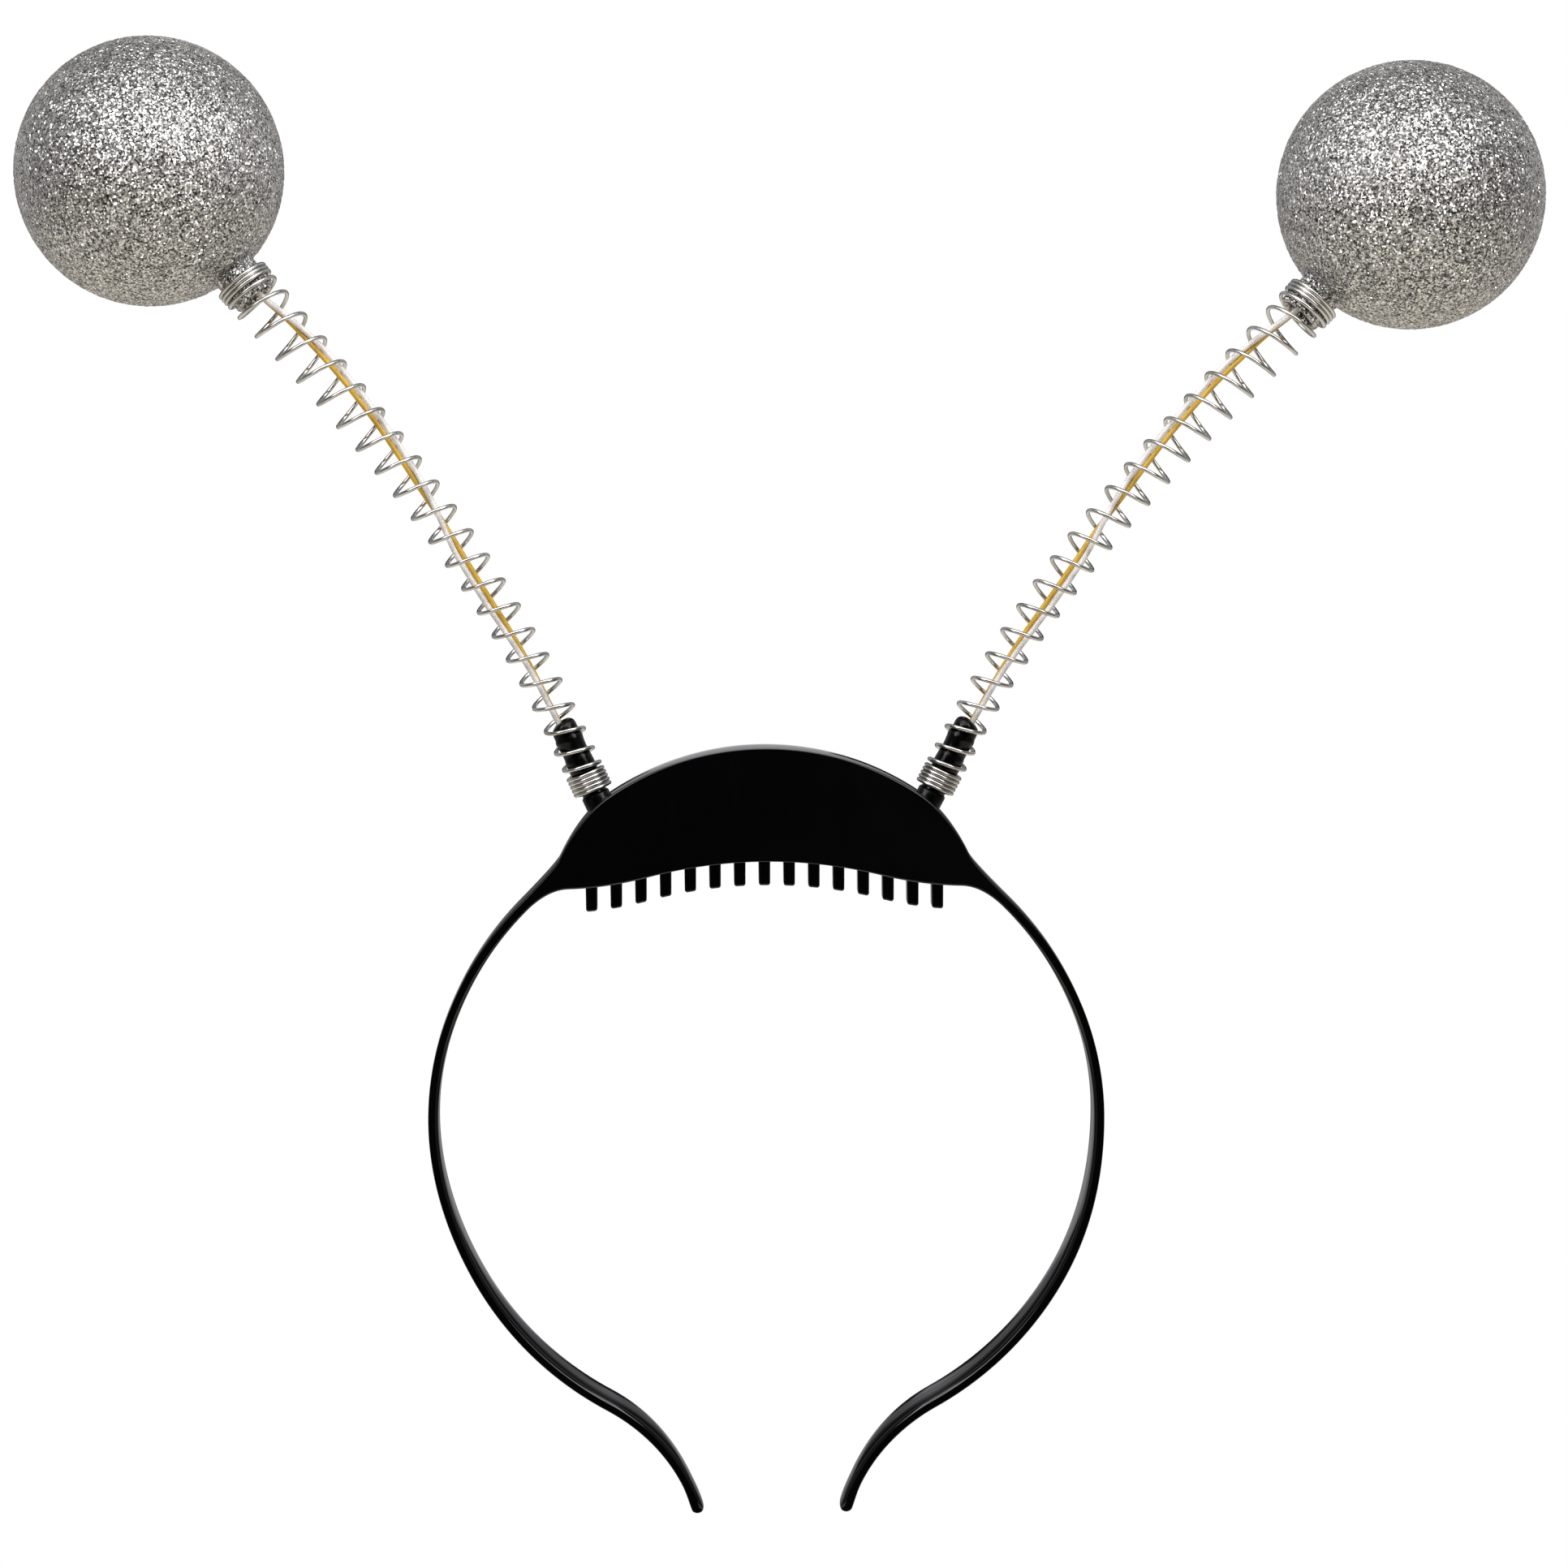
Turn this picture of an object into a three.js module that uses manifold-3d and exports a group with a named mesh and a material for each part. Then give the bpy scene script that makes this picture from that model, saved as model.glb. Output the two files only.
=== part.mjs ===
// A head bopper: a slim black headband whose crescent housing carries two glitter balls on coil springs.
// Millimetres, +Y to the back and +Z up. Left and right are as seen from the front, with +X to the right.
// The origin is the tip of the middle comb tooth, at half the band's depth, where it sits on the crown.
import * as THREE from 'three';
import { mergeVertices } from 'three/addons/utils/BufferGeometryUtils.js';
import Module from 'manifold-3d';

const wasm = await Module();
wasm.setup();

// Headband sizes: the ring's arcs are those of its outer edge
const BAND_DEPTH = 14;
const BAND_THICKNESS = 2.1;
const EDGE_ROUND = 0.45;
const RING_Z = -44.1;
const UPPER_ARC = { x: 8.5, radius: 55.5, topAngle: 22, steps: 4 };
const LOWER_ARC = { x: 0.6, radius: 63.4, footAngle: -61, steps: 10 };
const TIP_ARC = { radius: 34.2, endAngle: 163, swell: 0.17, swellAngle: 9, steps: 7 };
const TIP_ROUND_STEPS = 4;

// Share of the band's depth that is left on the way down to the tips
const TIP_NARROWING = [
  { place: 'arm', z: -100, share: 1 },
  { place: 'tip start', z: -106, share: 0.85 },
  { place: 'tip middle', z: -112, share: 0.72 },
  { place: 'tip', z: -118, share: 0.66 },
  { place: 'tip end', z: -120.3, share: 0.45 },
];

// The springy ring stands a little to the right below its middle
const SWAY = { reach: 0.5, fromZ: -44.1, toZ: -75 };

// Middle of each arm's thickness where it leaves the housing, and its slope there
const ARM_TOP = { x: 45.7, z: -3.5, angle: -45, steps: 3 };

// Housing sizes: the crown's arc, the bends at its two ends and the arched edge underneath
const CROWN_TOP_Z = 25.95;
const CROWN_ARC = { radius: 53, endX: 29, steps: 8 };
const SHOULDER = { x: 38.6, z: 6, bendX: 34.6, bendZ: 13.65, steps: 4 };
const EDGE_BELOW = { middleZ: 4.8, radius: 88, archX: 22, easeLength: 16.5, endX: 37, steps: 8 };
const HOUSING_WALL = 1.7;
const HOUSING_INNER_X = 34.2;
const MOUTH_OVERRUN = 4;

// Comb sizes
const TOOTH_COUNT = 15;
const TOOTH_PITCH = 4.67;
const TOOTH_WIDTH = 2.15;
const TOOTH_LENGTH = 4.8;
const TOOTH_DEPTH = 6;
const TOOTH_CORNER = { radius: 0.5, steps: 2 };
const STRIP_THICKNESS = 1.8;
const STRIP_RAISE = 0.6;
const STRIP_HALF_LENGTH = 33.85;

// Posts stand at a lean in the housing's top, and each is a lathe profile along its own axis
const POST_FOOT = { x: 31.2, z: 15.9 };
const POST_BORE = 1.42;
const POST_SIDES = 12;
const POST_PROFILE = [
  { place: 'bottom end', along: -5, radius: 2.35 },
  { place: 'stub start', along: -3.4, radius: 2.72 },
  { place: 'stub end', along: 1.5, radius: 2.72 },
  { place: 'seat start', along: 1.8, radius: 2.36 },
  { place: 'seat end', along: 5.6, radius: 2.36 },
  { place: 'lower barb', along: 9.3, radius: 2.68 },
  { place: 'barb step', along: 9.6, radius: 2.46 },
  { place: 'upper barb', along: 13.1, radius: 2.7 },
  { place: 'barb shoulder', along: 13.7, radius: 2.52 },
  { place: 'dome', along: 15.2, radius: 2.15 },
  { place: 'dome rim', along: 16.1, radius: 1.72 },
];
const POST_HOLE_GAP = 0.3;

// Balls: a thin shell with an open neck that points back along the antenna
const BALL_RADIUS = 25.4;
const BALL_WALL = 1.3;
const BALL_SIDES = 16;
const BALL_RINGS = 10;
const NECK_RADIUS = 4.3;
const NECK_BORE = 3.2;
const NECK_REACH = 6.2;
const ANTENNAE = [
  { side: 'left', sign: -1, postLean: 24.6, ballX: 115, ballZ: 135.2, neckLean: 40.2 },
  { side: 'right', sign: 1, postLean: 28.2, ballX: 123.8, ballZ: 129.1, neckLean: 44.2 },
];
const BALL_Y = 11;
const NECK_BACK_LEAN = 8;
const BEND_HANDLES = { post: 0.41, neck: 0.18 };

// Springs: wire wound tight at both ends, open between, and wider towards the ball
const WIRE_RADIUS = 0.42;
const WIRE_SIDES = 5;
const COIL_RADIUS = { post: 3.42, neck: 5.08 };
const COIL_START = 2.3;
const COIL_STOP_FROM_BALL = 1.6;
const COIL_TURNS = 28.5;
const TIGHT_PITCH = 0.95;
const OPENING_TURNS = [3, 7];
const CLOSING_TURNS = [23, 26.3];
const PITCH_GROWTH = 0.2;
const STEPS_PER_TURN = { seat: 12, open: 9 };

// Leads: two insulated wires side by side, swinging round each other and off the axis on the way up.
// An angle of 0 puts the white lead on the side of the mid-line, and a shift moves both that way.
const LEAD_RADIUS = 0.52;
const LEAD_SIDES = 6;
const LEAD_STEPS = 36;
const LEAD_OFFSET = 0.68;
const LEAD_INTO_POST = 2;
const LEAD_INTO_BALL = 4;
const LEAD_SWING = [
  { place: 'post', along: 0, angle: 90, shift: 0 },
  { place: 'first coils', along: 0.2, angle: 92, shift: -0.1 },
  { place: 'lower coils', along: 0.34, angle: 168, shift: -1 },
  { place: 'lower middle', along: 0.42, angle: 165, shift: -0.6 },
  { place: 'middle', along: 0.48, angle: 90, shift: 0.4 },
  { place: 'upper middle', along: 0.57, angle: 8, shift: 1.5 },
  { place: 'upper coils', along: 0.72, angle: 0, shift: 2.3 },
  { place: 'last coils', along: 0.82, angle: 0, shift: 2.1 },
  { place: 'neck', along: 0.92, angle: 0, shift: 0.6 },
  { place: 'ball', along: 1, angle: 0, shift: 0 },
];
const LEADS = [
  { colour: 'white', turn: 0 },
  { colour: 'yellow', turn: 180 },
];

const MATERIALS = {
  black: new THREE.MeshStandardMaterial({ color: 0x0b0b0c, roughness: 0.22, metalness: 0 }),
  steel: new THREE.MeshStandardMaterial({ color: 0xb9b8b2, roughness: 0.25, metalness: 1 }),
  glitter: new THREE.MeshStandardMaterial({ color: 0x9a9a98, roughness: 0.3, metalness: 0.9 }),
  white: new THREE.MeshStandardMaterial({ color: 0xe6e2dc, roughness: 0.4, metalness: 0 }),
  yellow: new THREE.MeshStandardMaterial({ color: 0xd9a520, roughness: 0.4, metalness: 0 }),
};

// Closest that two points of a mesh or of an outline may lie
const WELD_DISTANCE = 1e-4;
const SHORTEST_EDGE = 1e-3;

const radians = THREE.MathUtils.degToRad;

// Booleans on closed meshes
function solidOf(geometry) {
  const bare = geometry.clone();
  bare.deleteAttribute('normal');
  bare.deleteAttribute('uv');
  const merged = mergeVertices(bare, WELD_DISTANCE);
  const vertProperties = Float32Array.from(merged.attributes.position.array);
  const triVerts = Uint32Array.from(merged.index.array);
  return new wasm.Manifold(new wasm.Mesh({ numProp: 3, vertProperties, triVerts }));
}

function geometryOf(solid) {
  const mesh = solid.getMesh();
  const geometry = new THREE.BufferGeometry();
  geometry.setAttribute('position', new THREE.BufferAttribute(mesh.vertProperties, 3));
  geometry.setIndex(new THREE.BufferAttribute(mesh.triVerts, 1));
  geometry.computeVertexNormals();
  return geometry;
}

// Outlines are drawn from the front: x to the right and z up
function arc(x, z, radius, fromAngle, toAngle, steps) {
  return Array.from({ length: steps + 1 }, (_, i) => {
    const angle = radians(fromAngle + ((toAngle - fromAngle) * i) / steps);
    return new THREE.Vector2(x + radius * Math.cos(angle), z + radius * Math.sin(angle));
  });
}

function bend(from, corner, to, steps) {
  return new THREE.QuadraticBezierCurve(from, corner, to).getPoints(steps);
}

// Place where two lines meet, each through a point at an angle
function meeting(from, fromAngle, to, toAngle) {
  const along = new THREE.Vector2(Math.cos(radians(fromAngle)), Math.sin(radians(fromAngle)));
  const across = new THREE.Vector2(-Math.sin(radians(toAngle)), Math.cos(radians(toAngle)));
  const reach = to.clone().sub(from).dot(across) / along.dot(across);
  return from.clone().addScaledVector(along, reach);
}

function mirrored(points) {
  return points.map((p) => new THREE.Vector2(-p.x, p.y)).reverse();
}

function withoutRepeats(points) {
  return points.filter((p, i) => p.distanceTo(points[(i + 1) % points.length]) > SHORTEST_EDGE);
}

// A slab between two depths: the outline's z becomes the model's z
function slab(points, depth, round) {
  const geometry = new THREE.ExtrudeGeometry(new THREE.Shape(withoutRepeats(points)), {
    depth: depth - 2 * round,
    steps: 1,
    bevelEnabled: round > 0,
    bevelThickness: round,
    bevelSize: round,
    bevelOffset: -round,
    bevelSegments: 1,
  });
  geometry.rotateX(Math.PI / 2);
  geometry.translate(0, depth / 2 - round, 0);
  return geometry;
}

// Headband: a ring of arcs, with the housing's crescent above it
function edgeBelowSlope(x) {
  const { radius, archX, easeLength } = EDGE_BELOW;
  const onArch = THREE.MathUtils.clamp(x, -archX, archX);
  const past = Math.min(Math.abs(x - onArch), easeLength);
  return (-onArch / Math.sqrt(radius ** 2 - onArch ** 2)) * (1 - past / easeLength);
}

function edgeBelowZ(x) {
  const { middleZ, radius, archX, easeLength } = EDGE_BELOW;
  const onArch = Math.min(Math.abs(x), archX);
  const past = Math.min(Math.abs(x) - onArch, easeLength);
  const archZ = middleZ - radius + Math.sqrt(radius ** 2 - onArch ** 2);
  return archZ + edgeBelowSlope(onArch) * past * (1 - past / (2 * easeLength));
}

function edgeBelow(halfLength, raise) {
  const rightHalf = [];
  for (let i = 0; i <= EDGE_BELOW.steps; i += 1) {
    const x = (halfLength * i) / EDGE_BELOW.steps;
    rightHalf.push(new THREE.Vector2(x, edgeBelowZ(x) + raise));
  }
  return [...mirrored(rightHalf), ...rightHalf.slice(1)];
}

function crownArc(inset, endX) {
  const radius = CROWN_ARC.radius - inset;
  const endAngle = THREE.MathUtils.radToDeg(Math.acos(endX / radius));
  return arc(0, CROWN_TOP_Z - CROWN_ARC.radius, radius, 90, endAngle, CROWN_ARC.steps);
}

function ringSide(inset) {
  const upper = arc(UPPER_ARC.x, RING_Z, UPPER_ARC.radius - inset, UPPER_ARC.topAngle, 0, UPPER_ARC.steps);
  const foot = LOWER_ARC.footAngle;
  const lower = arc(LOWER_ARC.x, RING_Z, LOWER_ARC.radius - inset, 0, foot, LOWER_ARC.steps);
  const reach = LOWER_ARC.radius + TIP_ARC.radius;
  const tipX = LOWER_ARC.x + reach * Math.cos(radians(foot));
  const tipZ = RING_Z + reach * Math.sin(radians(foot));
  const tip = arc(tipX, tipZ, TIP_ARC.radius + inset, 180 + foot, TIP_ARC.endAngle, TIP_ARC.steps);
  const tipCentre = new THREE.Vector2(tipX, tipZ);
  const swollen = tip.map((point) => swollenPoint(point, tipCentre, inset > 0 ? 1 : -1));
  return [...upper, ...lower.slice(1), ...swollen.slice(1)];
}

// The band swells a little at the end of each tip, away from its own middle
function swollenPoint(point, centre, direction) {
  const spoke = point.clone().sub(centre);
  const angle = THREE.MathUtils.radToDeg(spoke.angle());
  const { swell, swellAngle, endAngle } = TIP_ARC;
  const share = THREE.MathUtils.smoothstep(angle, endAngle - swellAngle, endAngle);
  return point.clone().addScaledVector(spoke.normalize(), direction * swell * share);
}

// One edge of the arm, from its place beside the housing to the start of the ring's upper arc
function armEdge(offset, arcStart) {
  const across = radians(ARM_TOP.angle + 90);
  const top = new THREE.Vector2(
    ARM_TOP.x + offset * Math.cos(across),
    ARM_TOP.z + offset * Math.sin(across),
  );
  const corner = meeting(top, ARM_TOP.angle, arcStart, UPPER_ARC.topAngle - 90);
  return bend(top, corner, arcStart, ARM_TOP.steps);
}

function swayed(point) {
  const share = 1 - THREE.MathUtils.smoothstep(point.y, SWAY.toZ, SWAY.fromZ);
  return new THREE.Vector2(point.x + SWAY.reach * share, point.y);
}

function roundedEnd(outer, inner) {
  const centre = outer.clone().add(inner).multiplyScalar(0.5);
  const start = THREE.MathUtils.radToDeg(Math.atan2(outer.y - centre.y, outer.x - centre.x));
  const radius = outer.distanceTo(inner) / 2;
  return arc(centre.x, centre.y, radius, start, start - 180, TIP_ROUND_STEPS).slice(1, -1);
}

function headbandOutline() {
  const crown = crownArc(0, CROWN_ARC.endX);
  const outer = ringSide(0);
  const inner = ringSide(BAND_THICKNESS);
  const shoulder = new THREE.Vector2(SHOULDER.x, SHOULDER.z);
  const crownBend = new THREE.Vector2(SHOULDER.bendX, SHOULDER.bendZ);
  const shoulderAngle = THREE.MathUtils.radToDeg(shoulder.clone().sub(crownBend).angle());
  const armOutside = armEdge(BAND_THICKNESS / 2, outer[0]);
  const armInside = armEdge(-BAND_THICKNESS / 2, inner[0]);
  const waist = meeting(shoulder, shoulderAngle, armOutside[0], ARM_TOP.angle);
  const rightOutside = [
    ...crown,
    ...bend(crown.at(-1), crownBend, shoulder, SHOULDER.steps).slice(1),
    ...bend(shoulder, waist, armOutside[0], SHOULDER.steps).slice(1),
    ...armOutside.slice(1),
    ...outer.slice(1),
    ...roundedEnd(outer.at(-1), inner.at(-1)),
  ];
  const underside = edgeBelow(EDGE_BELOW.endX, 0);
  const edgeAngle = THREE.MathUtils.radToDeg(Math.atan(edgeBelowSlope(EDGE_BELOW.endX)));
  const hollowCorner = meeting(underside.at(-1), edgeAngle, armInside[0], ARM_TOP.angle);
  const hollow = bend(underside.at(-1), hollowCorner, armInside[0], SHOULDER.steps).slice(1);
  const rightInside = [...hollow, ...armInside.slice(1), ...inner.slice(1)].reverse();
  const rightSide = [...rightOutside, ...rightInside];
  return [...rightSide, ...underside.reverse(), ...mirrored(rightSide)].map(swayed);
}

// The band is narrower, seen from the side, towards its tips
function narrowed(geometry) {
  const position = geometry.attributes.position;
  for (let i = 0; i < position.count; i += 1) {
    position.setY(i, position.getY(i) * depthShare(position.getZ(i)));
  }
  return geometry;
}

function depthShare(z) {
  const next = TIP_NARROWING.findIndex((row) => row.z < z);
  if (next === 0) {
    return TIP_NARROWING[0].share;
  }
  const from = TIP_NARROWING.at(next < 0 ? -2 : next - 1);
  const to = TIP_NARROWING.at(next);
  return THREE.MathUtils.lerp(from.share, to.share, Math.min((z - from.z) / (to.z - from.z), 1));
}

function antennaFrame(antenna) {
  const foot = new THREE.Vector3(antenna.sign * POST_FOOT.x, 0, POST_FOOT.z);
  const lean = radians(antenna.postLean);
  const up = new THREE.Vector3(antenna.sign * Math.sin(lean), 0, Math.cos(lean));
  return { foot, up };
}

function standOn(geometry, foot, up) {
  const turn = new THREE.Quaternion().setFromUnitVectors(new THREE.Vector3(0, 1, 0), up);
  geometry.applyQuaternion(turn);
  geometry.translate(foot.x, foot.y, foot.z);
  return geometry;
}

function postHole(antenna) {
  const { foot, up } = antennaFrame(antenna);
  const top = POST_PROFILE.find((row) => row.place === 'seat end').along;
  const bottom = POST_PROFILE[0].along;
  const radius = POST_PROFILE.find((row) => row.place === 'stub end').radius + POST_HOLE_GAP;
  const drill = new THREE.CylinderGeometry(radius, radius, top - bottom, POST_SIDES);
  drill.translate(0, (top + bottom) / 2, 0);
  return standOn(drill, foot, up);
}

function headband() {
  const ceiling = crownArc(HOUSING_WALL, HOUSING_INNER_X);
  const mouthZ = edgeBelowZ(HOUSING_INNER_X) - MOUTH_OVERRUN;
  const rightWall = [...ceiling, new THREE.Vector2(HOUSING_INNER_X, mouthZ)];
  const cavity = slab([...rightWall, ...mirrored(rightWall)], BAND_DEPTH - 2 * HOUSING_WALL, 0);
  let solid = solidOf(narrowed(slab(headbandOutline(), BAND_DEPTH, EDGE_ROUND))).subtract(solidOf(cavity));
  for (const antenna of ANTENNAE) {
    solid = solid.subtract(solidOf(postHole(antenna)));
  }
  return geometryOf(solid);
}

// Comb: an arched strip inside the housing's mouth, and teeth that follow the edge below it
function tooth(x) {
  const half = TOOTH_WIDTH / 2;
  const { radius, steps } = TOOTH_CORNER;
  const slope = edgeBelowSlope(x);
  const tipZ = edgeBelowZ(x) - TOOTH_LENGTH;
  const rootZ = edgeBelowZ(x) + STRIP_RAISE + STRIP_THICKNESS / 2;
  const corner = (sign, fromAngle, toAngle) => {
    const reach = sign * (half - radius);
    return arc(x + reach, tipZ + slope * reach + radius, radius, fromAngle, toAngle, steps);
  };
  const end = [...corner(1, 0, -90), ...corner(-1, -90, -180)];
  const root = [new THREE.Vector2(x - half, rootZ), new THREE.Vector2(x + half, rootZ)];
  return slab([...end, ...root], TOOTH_DEPTH, 0);
}

function comb() {
  const lower = edgeBelow(STRIP_HALF_LENGTH, STRIP_RAISE);
  const upper = edgeBelow(STRIP_HALF_LENGTH, STRIP_RAISE + STRIP_THICKNESS);
  const stripDepth = BAND_DEPTH - 2 * HOUSING_WALL - 2 * POST_HOLE_GAP;
  let solid = solidOf(slab([...lower, ...upper.reverse()].reverse(), stripDepth, 0));
  for (let i = 0; i < TOOTH_COUNT; i += 1) {
    const x = (i - (TOOTH_COUNT - 1) / 2) * TOOTH_PITCH;
    solid = solid.add(solidOf(tooth(x)));
  }
  return geometryOf(solid);
}

// Posts and balls are turned shapes: profile points are radius and height along the axis
function turned(profile, sides) {
  return new THREE.LatheGeometry(profile.map(([radius, along]) => new THREE.Vector2(radius, along)), sides);
}

function post(antenna) {
  const { foot, up } = antennaFrame(antenna);
  const outside = POST_PROFILE.map((row) => [row.radius, row.along]);
  const bottom = [POST_BORE, POST_PROFILE[0].along];
  const top = [POST_BORE, POST_PROFILE.at(-1).along];
  return standOn(turned([bottom, ...outside, top, bottom], POST_SIDES), foot, up);
}

function neckDirection(antenna) {
  const lean = radians(antenna.neckLean);
  const back = radians(NECK_BACK_LEAN);
  const flat = Math.cos(back);
  return new THREE.Vector3(antenna.sign * Math.sin(lean) * flat, Math.sin(back), Math.cos(lean) * flat);
}

function ballCentre(antenna) {
  return new THREE.Vector3(antenna.sign * antenna.ballX, BALL_Y, antenna.ballZ);
}

function shellSide(radius, neckRadius) {
  const neckAngle = Math.asin(neckRadius / radius);
  return Array.from({ length: BALL_RINGS + 1 }, (_, i) => {
    const angle = neckAngle + ((Math.PI - neckAngle) * i) / BALL_RINGS;
    const ringRadius = i === BALL_RINGS ? 0 : radius * Math.sin(angle);
    return [ringRadius, -radius * Math.cos(angle)];
  });
}

function ball(antenna) {
  const neckEnd = -BALL_RADIUS - NECK_REACH;
  const outside = shellSide(BALL_RADIUS, NECK_RADIUS);
  const inside = shellSide(BALL_RADIUS - BALL_WALL, NECK_BORE).reverse();
  const profile = [...inside, [NECK_BORE, neckEnd], [NECK_RADIUS, neckEnd], ...outside];
  return standOn(turned(profile, BALL_SIDES), ballCentre(antenna), neckDirection(antenna));
}

// The antenna's axis: straight up the post, a bend, then straight into the ball
function antennaAxis(antenna) {
  const { foot, up } = antennaFrame(antenna);
  const postTop = foot.clone().addScaledVector(up, POST_PROFILE.at(-1).along);
  const inward = neckDirection(antenna);
  const centre = ballCentre(antenna);
  const neckEnd = centre.clone().addScaledVector(inward, -BALL_RADIUS - NECK_REACH);
  const reach = postTop.distanceTo(neckEnd);
  const axis = new THREE.CurvePath();
  axis.add(new THREE.LineCurve3(foot, postTop));
  axis.add(
    new THREE.CubicBezierCurve3(
      postTop,
      postTop.clone().addScaledVector(up, reach * BEND_HANDLES.post),
      neckEnd.clone().addScaledVector(inward, -reach * BEND_HANDLES.neck),
      neckEnd,
    ),
  );
  axis.add(new THREE.LineCurve3(neckEnd, centre));
  return axis;
}

// Place on the axis, with the two directions across it: towards the mid-line and towards the front
function axisPlace(axis, along, antenna) {
  const u = along / axis.getLength();
  const point = axis.getPointAt(u);
  const tangent = axis.getTangentAt(u);
  const back = new THREE.Vector3(0, 1, 0);
  const inner = new THREE.Vector3().crossVectors(back, tangent).normalize().multiplyScalar(-antenna.sign);
  const front = new THREE.Vector3().crossVectors(tangent, inner).normalize().multiplyScalar(antenna.sign);
  return { point, inner, front };
}

function around({ point, inner, front }, radius, angle) {
  return point
    .clone()
    .addScaledVector(inner, radius * Math.cos(angle))
    .addScaledVector(front, radius * Math.sin(angle));
}

// A wire whose bends are its own points, so that each coil keeps its set number of steps
class Polyline extends THREE.Curve {
  constructor(points) {
    super();
    this.points = points;
  }

  getPointAt(u) {
    const place = u * (this.points.length - 1);
    const index = Math.min(Math.floor(place), this.points.length - 2);
    return this.points[index].clone().lerp(this.points[index + 1], place - index);
  }

  getTangentAt(u) {
    const step = 1 / (this.points.length - 1);
    const before = this.getPointAt(Math.max(u - step, 0));
    const after = this.getPointAt(Math.min(u + step, 1));
    return after.sub(before).normalize();
  }
}

function wire(points, radius, sides) {
  const section = new THREE.Shape(arc(0, 0, radius, 0, 360, sides).slice(0, -1));
  const options = { steps: points.length - 1, extrudePath: new Polyline(points), bevelEnabled: false };
  return new THREE.ExtrudeGeometry(section, options);
}

// Share of the open pitch at a turn: none on the two seats, and between them a little more towards the ball
function openShare(turn) {
  const opening = THREE.MathUtils.smoothstep(turn, ...OPENING_TURNS);
  const closing = THREE.MathUtils.smoothstep(turn, ...CLOSING_TURNS);
  return opening * (1 - closing) * (1 + (PITCH_GROWTH * turn) / COIL_TURNS);
}

function stepsPerTurn(turn) {
  const onSeat = turn < OPENING_TURNS[1] || turn > CLOSING_TURNS[0];
  return onSeat ? STEPS_PER_TURN.seat : STEPS_PER_TURN.open;
}

function coilTurns() {
  const turns = [0];
  while (turns.at(-1) < COIL_TURNS) {
    turns.push(Math.min(turns.at(-1) + 1 / stepsPerTurn(turns.at(-1)), COIL_TURNS));
  }
  return turns;
}

function spring(antenna) {
  const axis = antennaAxis(antenna);
  const stop = axis.getLength() - BALL_RADIUS - COIL_STOP_FROM_BALL;
  const turns = coilTurns();
  const steps = turns.slice(1).map((turn, i) => {
    const count = turn - turns[i];
    return { count, open: count * openShare((turn + turns[i]) / 2) };
  });
  const openTurns = steps.reduce((sum, step) => sum + step.open, 0);
  const spare = stop - COIL_START - TIGHT_PITCH * COIL_TURNS;
  let along = COIL_START;
  const points = turns.map((turn, i) => {
    if (i > 0) {
      along += TIGHT_PITCH * steps[i - 1].count + (spare * steps[i - 1].open) / openTurns;
    }
    const share = (along - COIL_START) / (stop - COIL_START);
    const sag = (1 + Math.cos(Math.PI / stepsPerTurn(turn))) / 2;
    const radius = (COIL_RADIUS.post + (COIL_RADIUS.neck - COIL_RADIUS.post) * share ** 2) / sag;
    return around(axisPlace(axis, along, antenna), radius, turn * 2 * Math.PI);
  });
  return wire(points, WIRE_RADIUS, WIRE_SIDES);
}

function leadSwing(share) {
  const next = Math.max(LEAD_SWING.findIndex((row) => row.along >= share), 1);
  const [from, to] = [LEAD_SWING[next - 1], LEAD_SWING[next]];
  const blend = (share - from.along) / (to.along - from.along);
  return {
    angle: THREE.MathUtils.lerp(from.angle, to.angle, blend),
    shift: THREE.MathUtils.lerp(from.shift, to.shift, blend),
  };
}

function lead(antenna, turn) {
  const axis = antennaAxis(antenna);
  const stop = axis.getLength() - BALL_RADIUS + LEAD_INTO_BALL;
  const points = Array.from({ length: LEAD_STEPS + 1 }, (_, i) => {
    const share = i / LEAD_STEPS;
    const place = axisPlace(axis, LEAD_INTO_POST + (stop - LEAD_INTO_POST) * share, antenna);
    const { angle, shift } = leadSwing(share);
    place.point.addScaledVector(place.inner, shift);
    return around(place, LEAD_OFFSET, radians(angle + turn));
  });
  return wire(points, LEAD_RADIUS, LEAD_SIDES);
}

function named(name, geometry, material) {
  const mesh = new THREE.Mesh(geometry, material);
  mesh.name = name;
  return mesh;
}

const bopper = new THREE.Group();
bopper.add(named('headband', headband(), MATERIALS.black));
bopper.add(named('comb', comb(), MATERIALS.black));
for (const antenna of ANTENNAE) {
  bopper.add(named(`post_${antenna.side}`, post(antenna), MATERIALS.black));
  bopper.add(named(`spring_${antenna.side}`, spring(antenna), MATERIALS.steel));
  bopper.add(named(`ball_${antenna.side}`, ball(antenna), MATERIALS.glitter));
  for (const { colour, turn } of LEADS) {
    bopper.add(named(`lead_${colour}_${antenna.side}`, lead(antenna, turn), MATERIALS[colour]));
  }
}

export default bopper;
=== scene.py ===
"""Head bopper: a glossy black headband whose crescent housing carries two glitter balls on coil springs.

Sizes are millimetres and angles are degrees, in the part's own frame, with +X to the right as seen from
the front, +Y to the back and +Z up. Every mesh is scaled to metres as it is made. The scales and heights
in the finishes count in metres, as their nodes do.
"""

from __future__ import annotations

import logging
import math
from collections.abc import Callable, Iterable, Mapping, Sequence
from dataclasses import dataclass, field
from enum import Enum

import bmesh
import bpy
import numpy as np
from mathutils import Matrix, Vector


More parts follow.
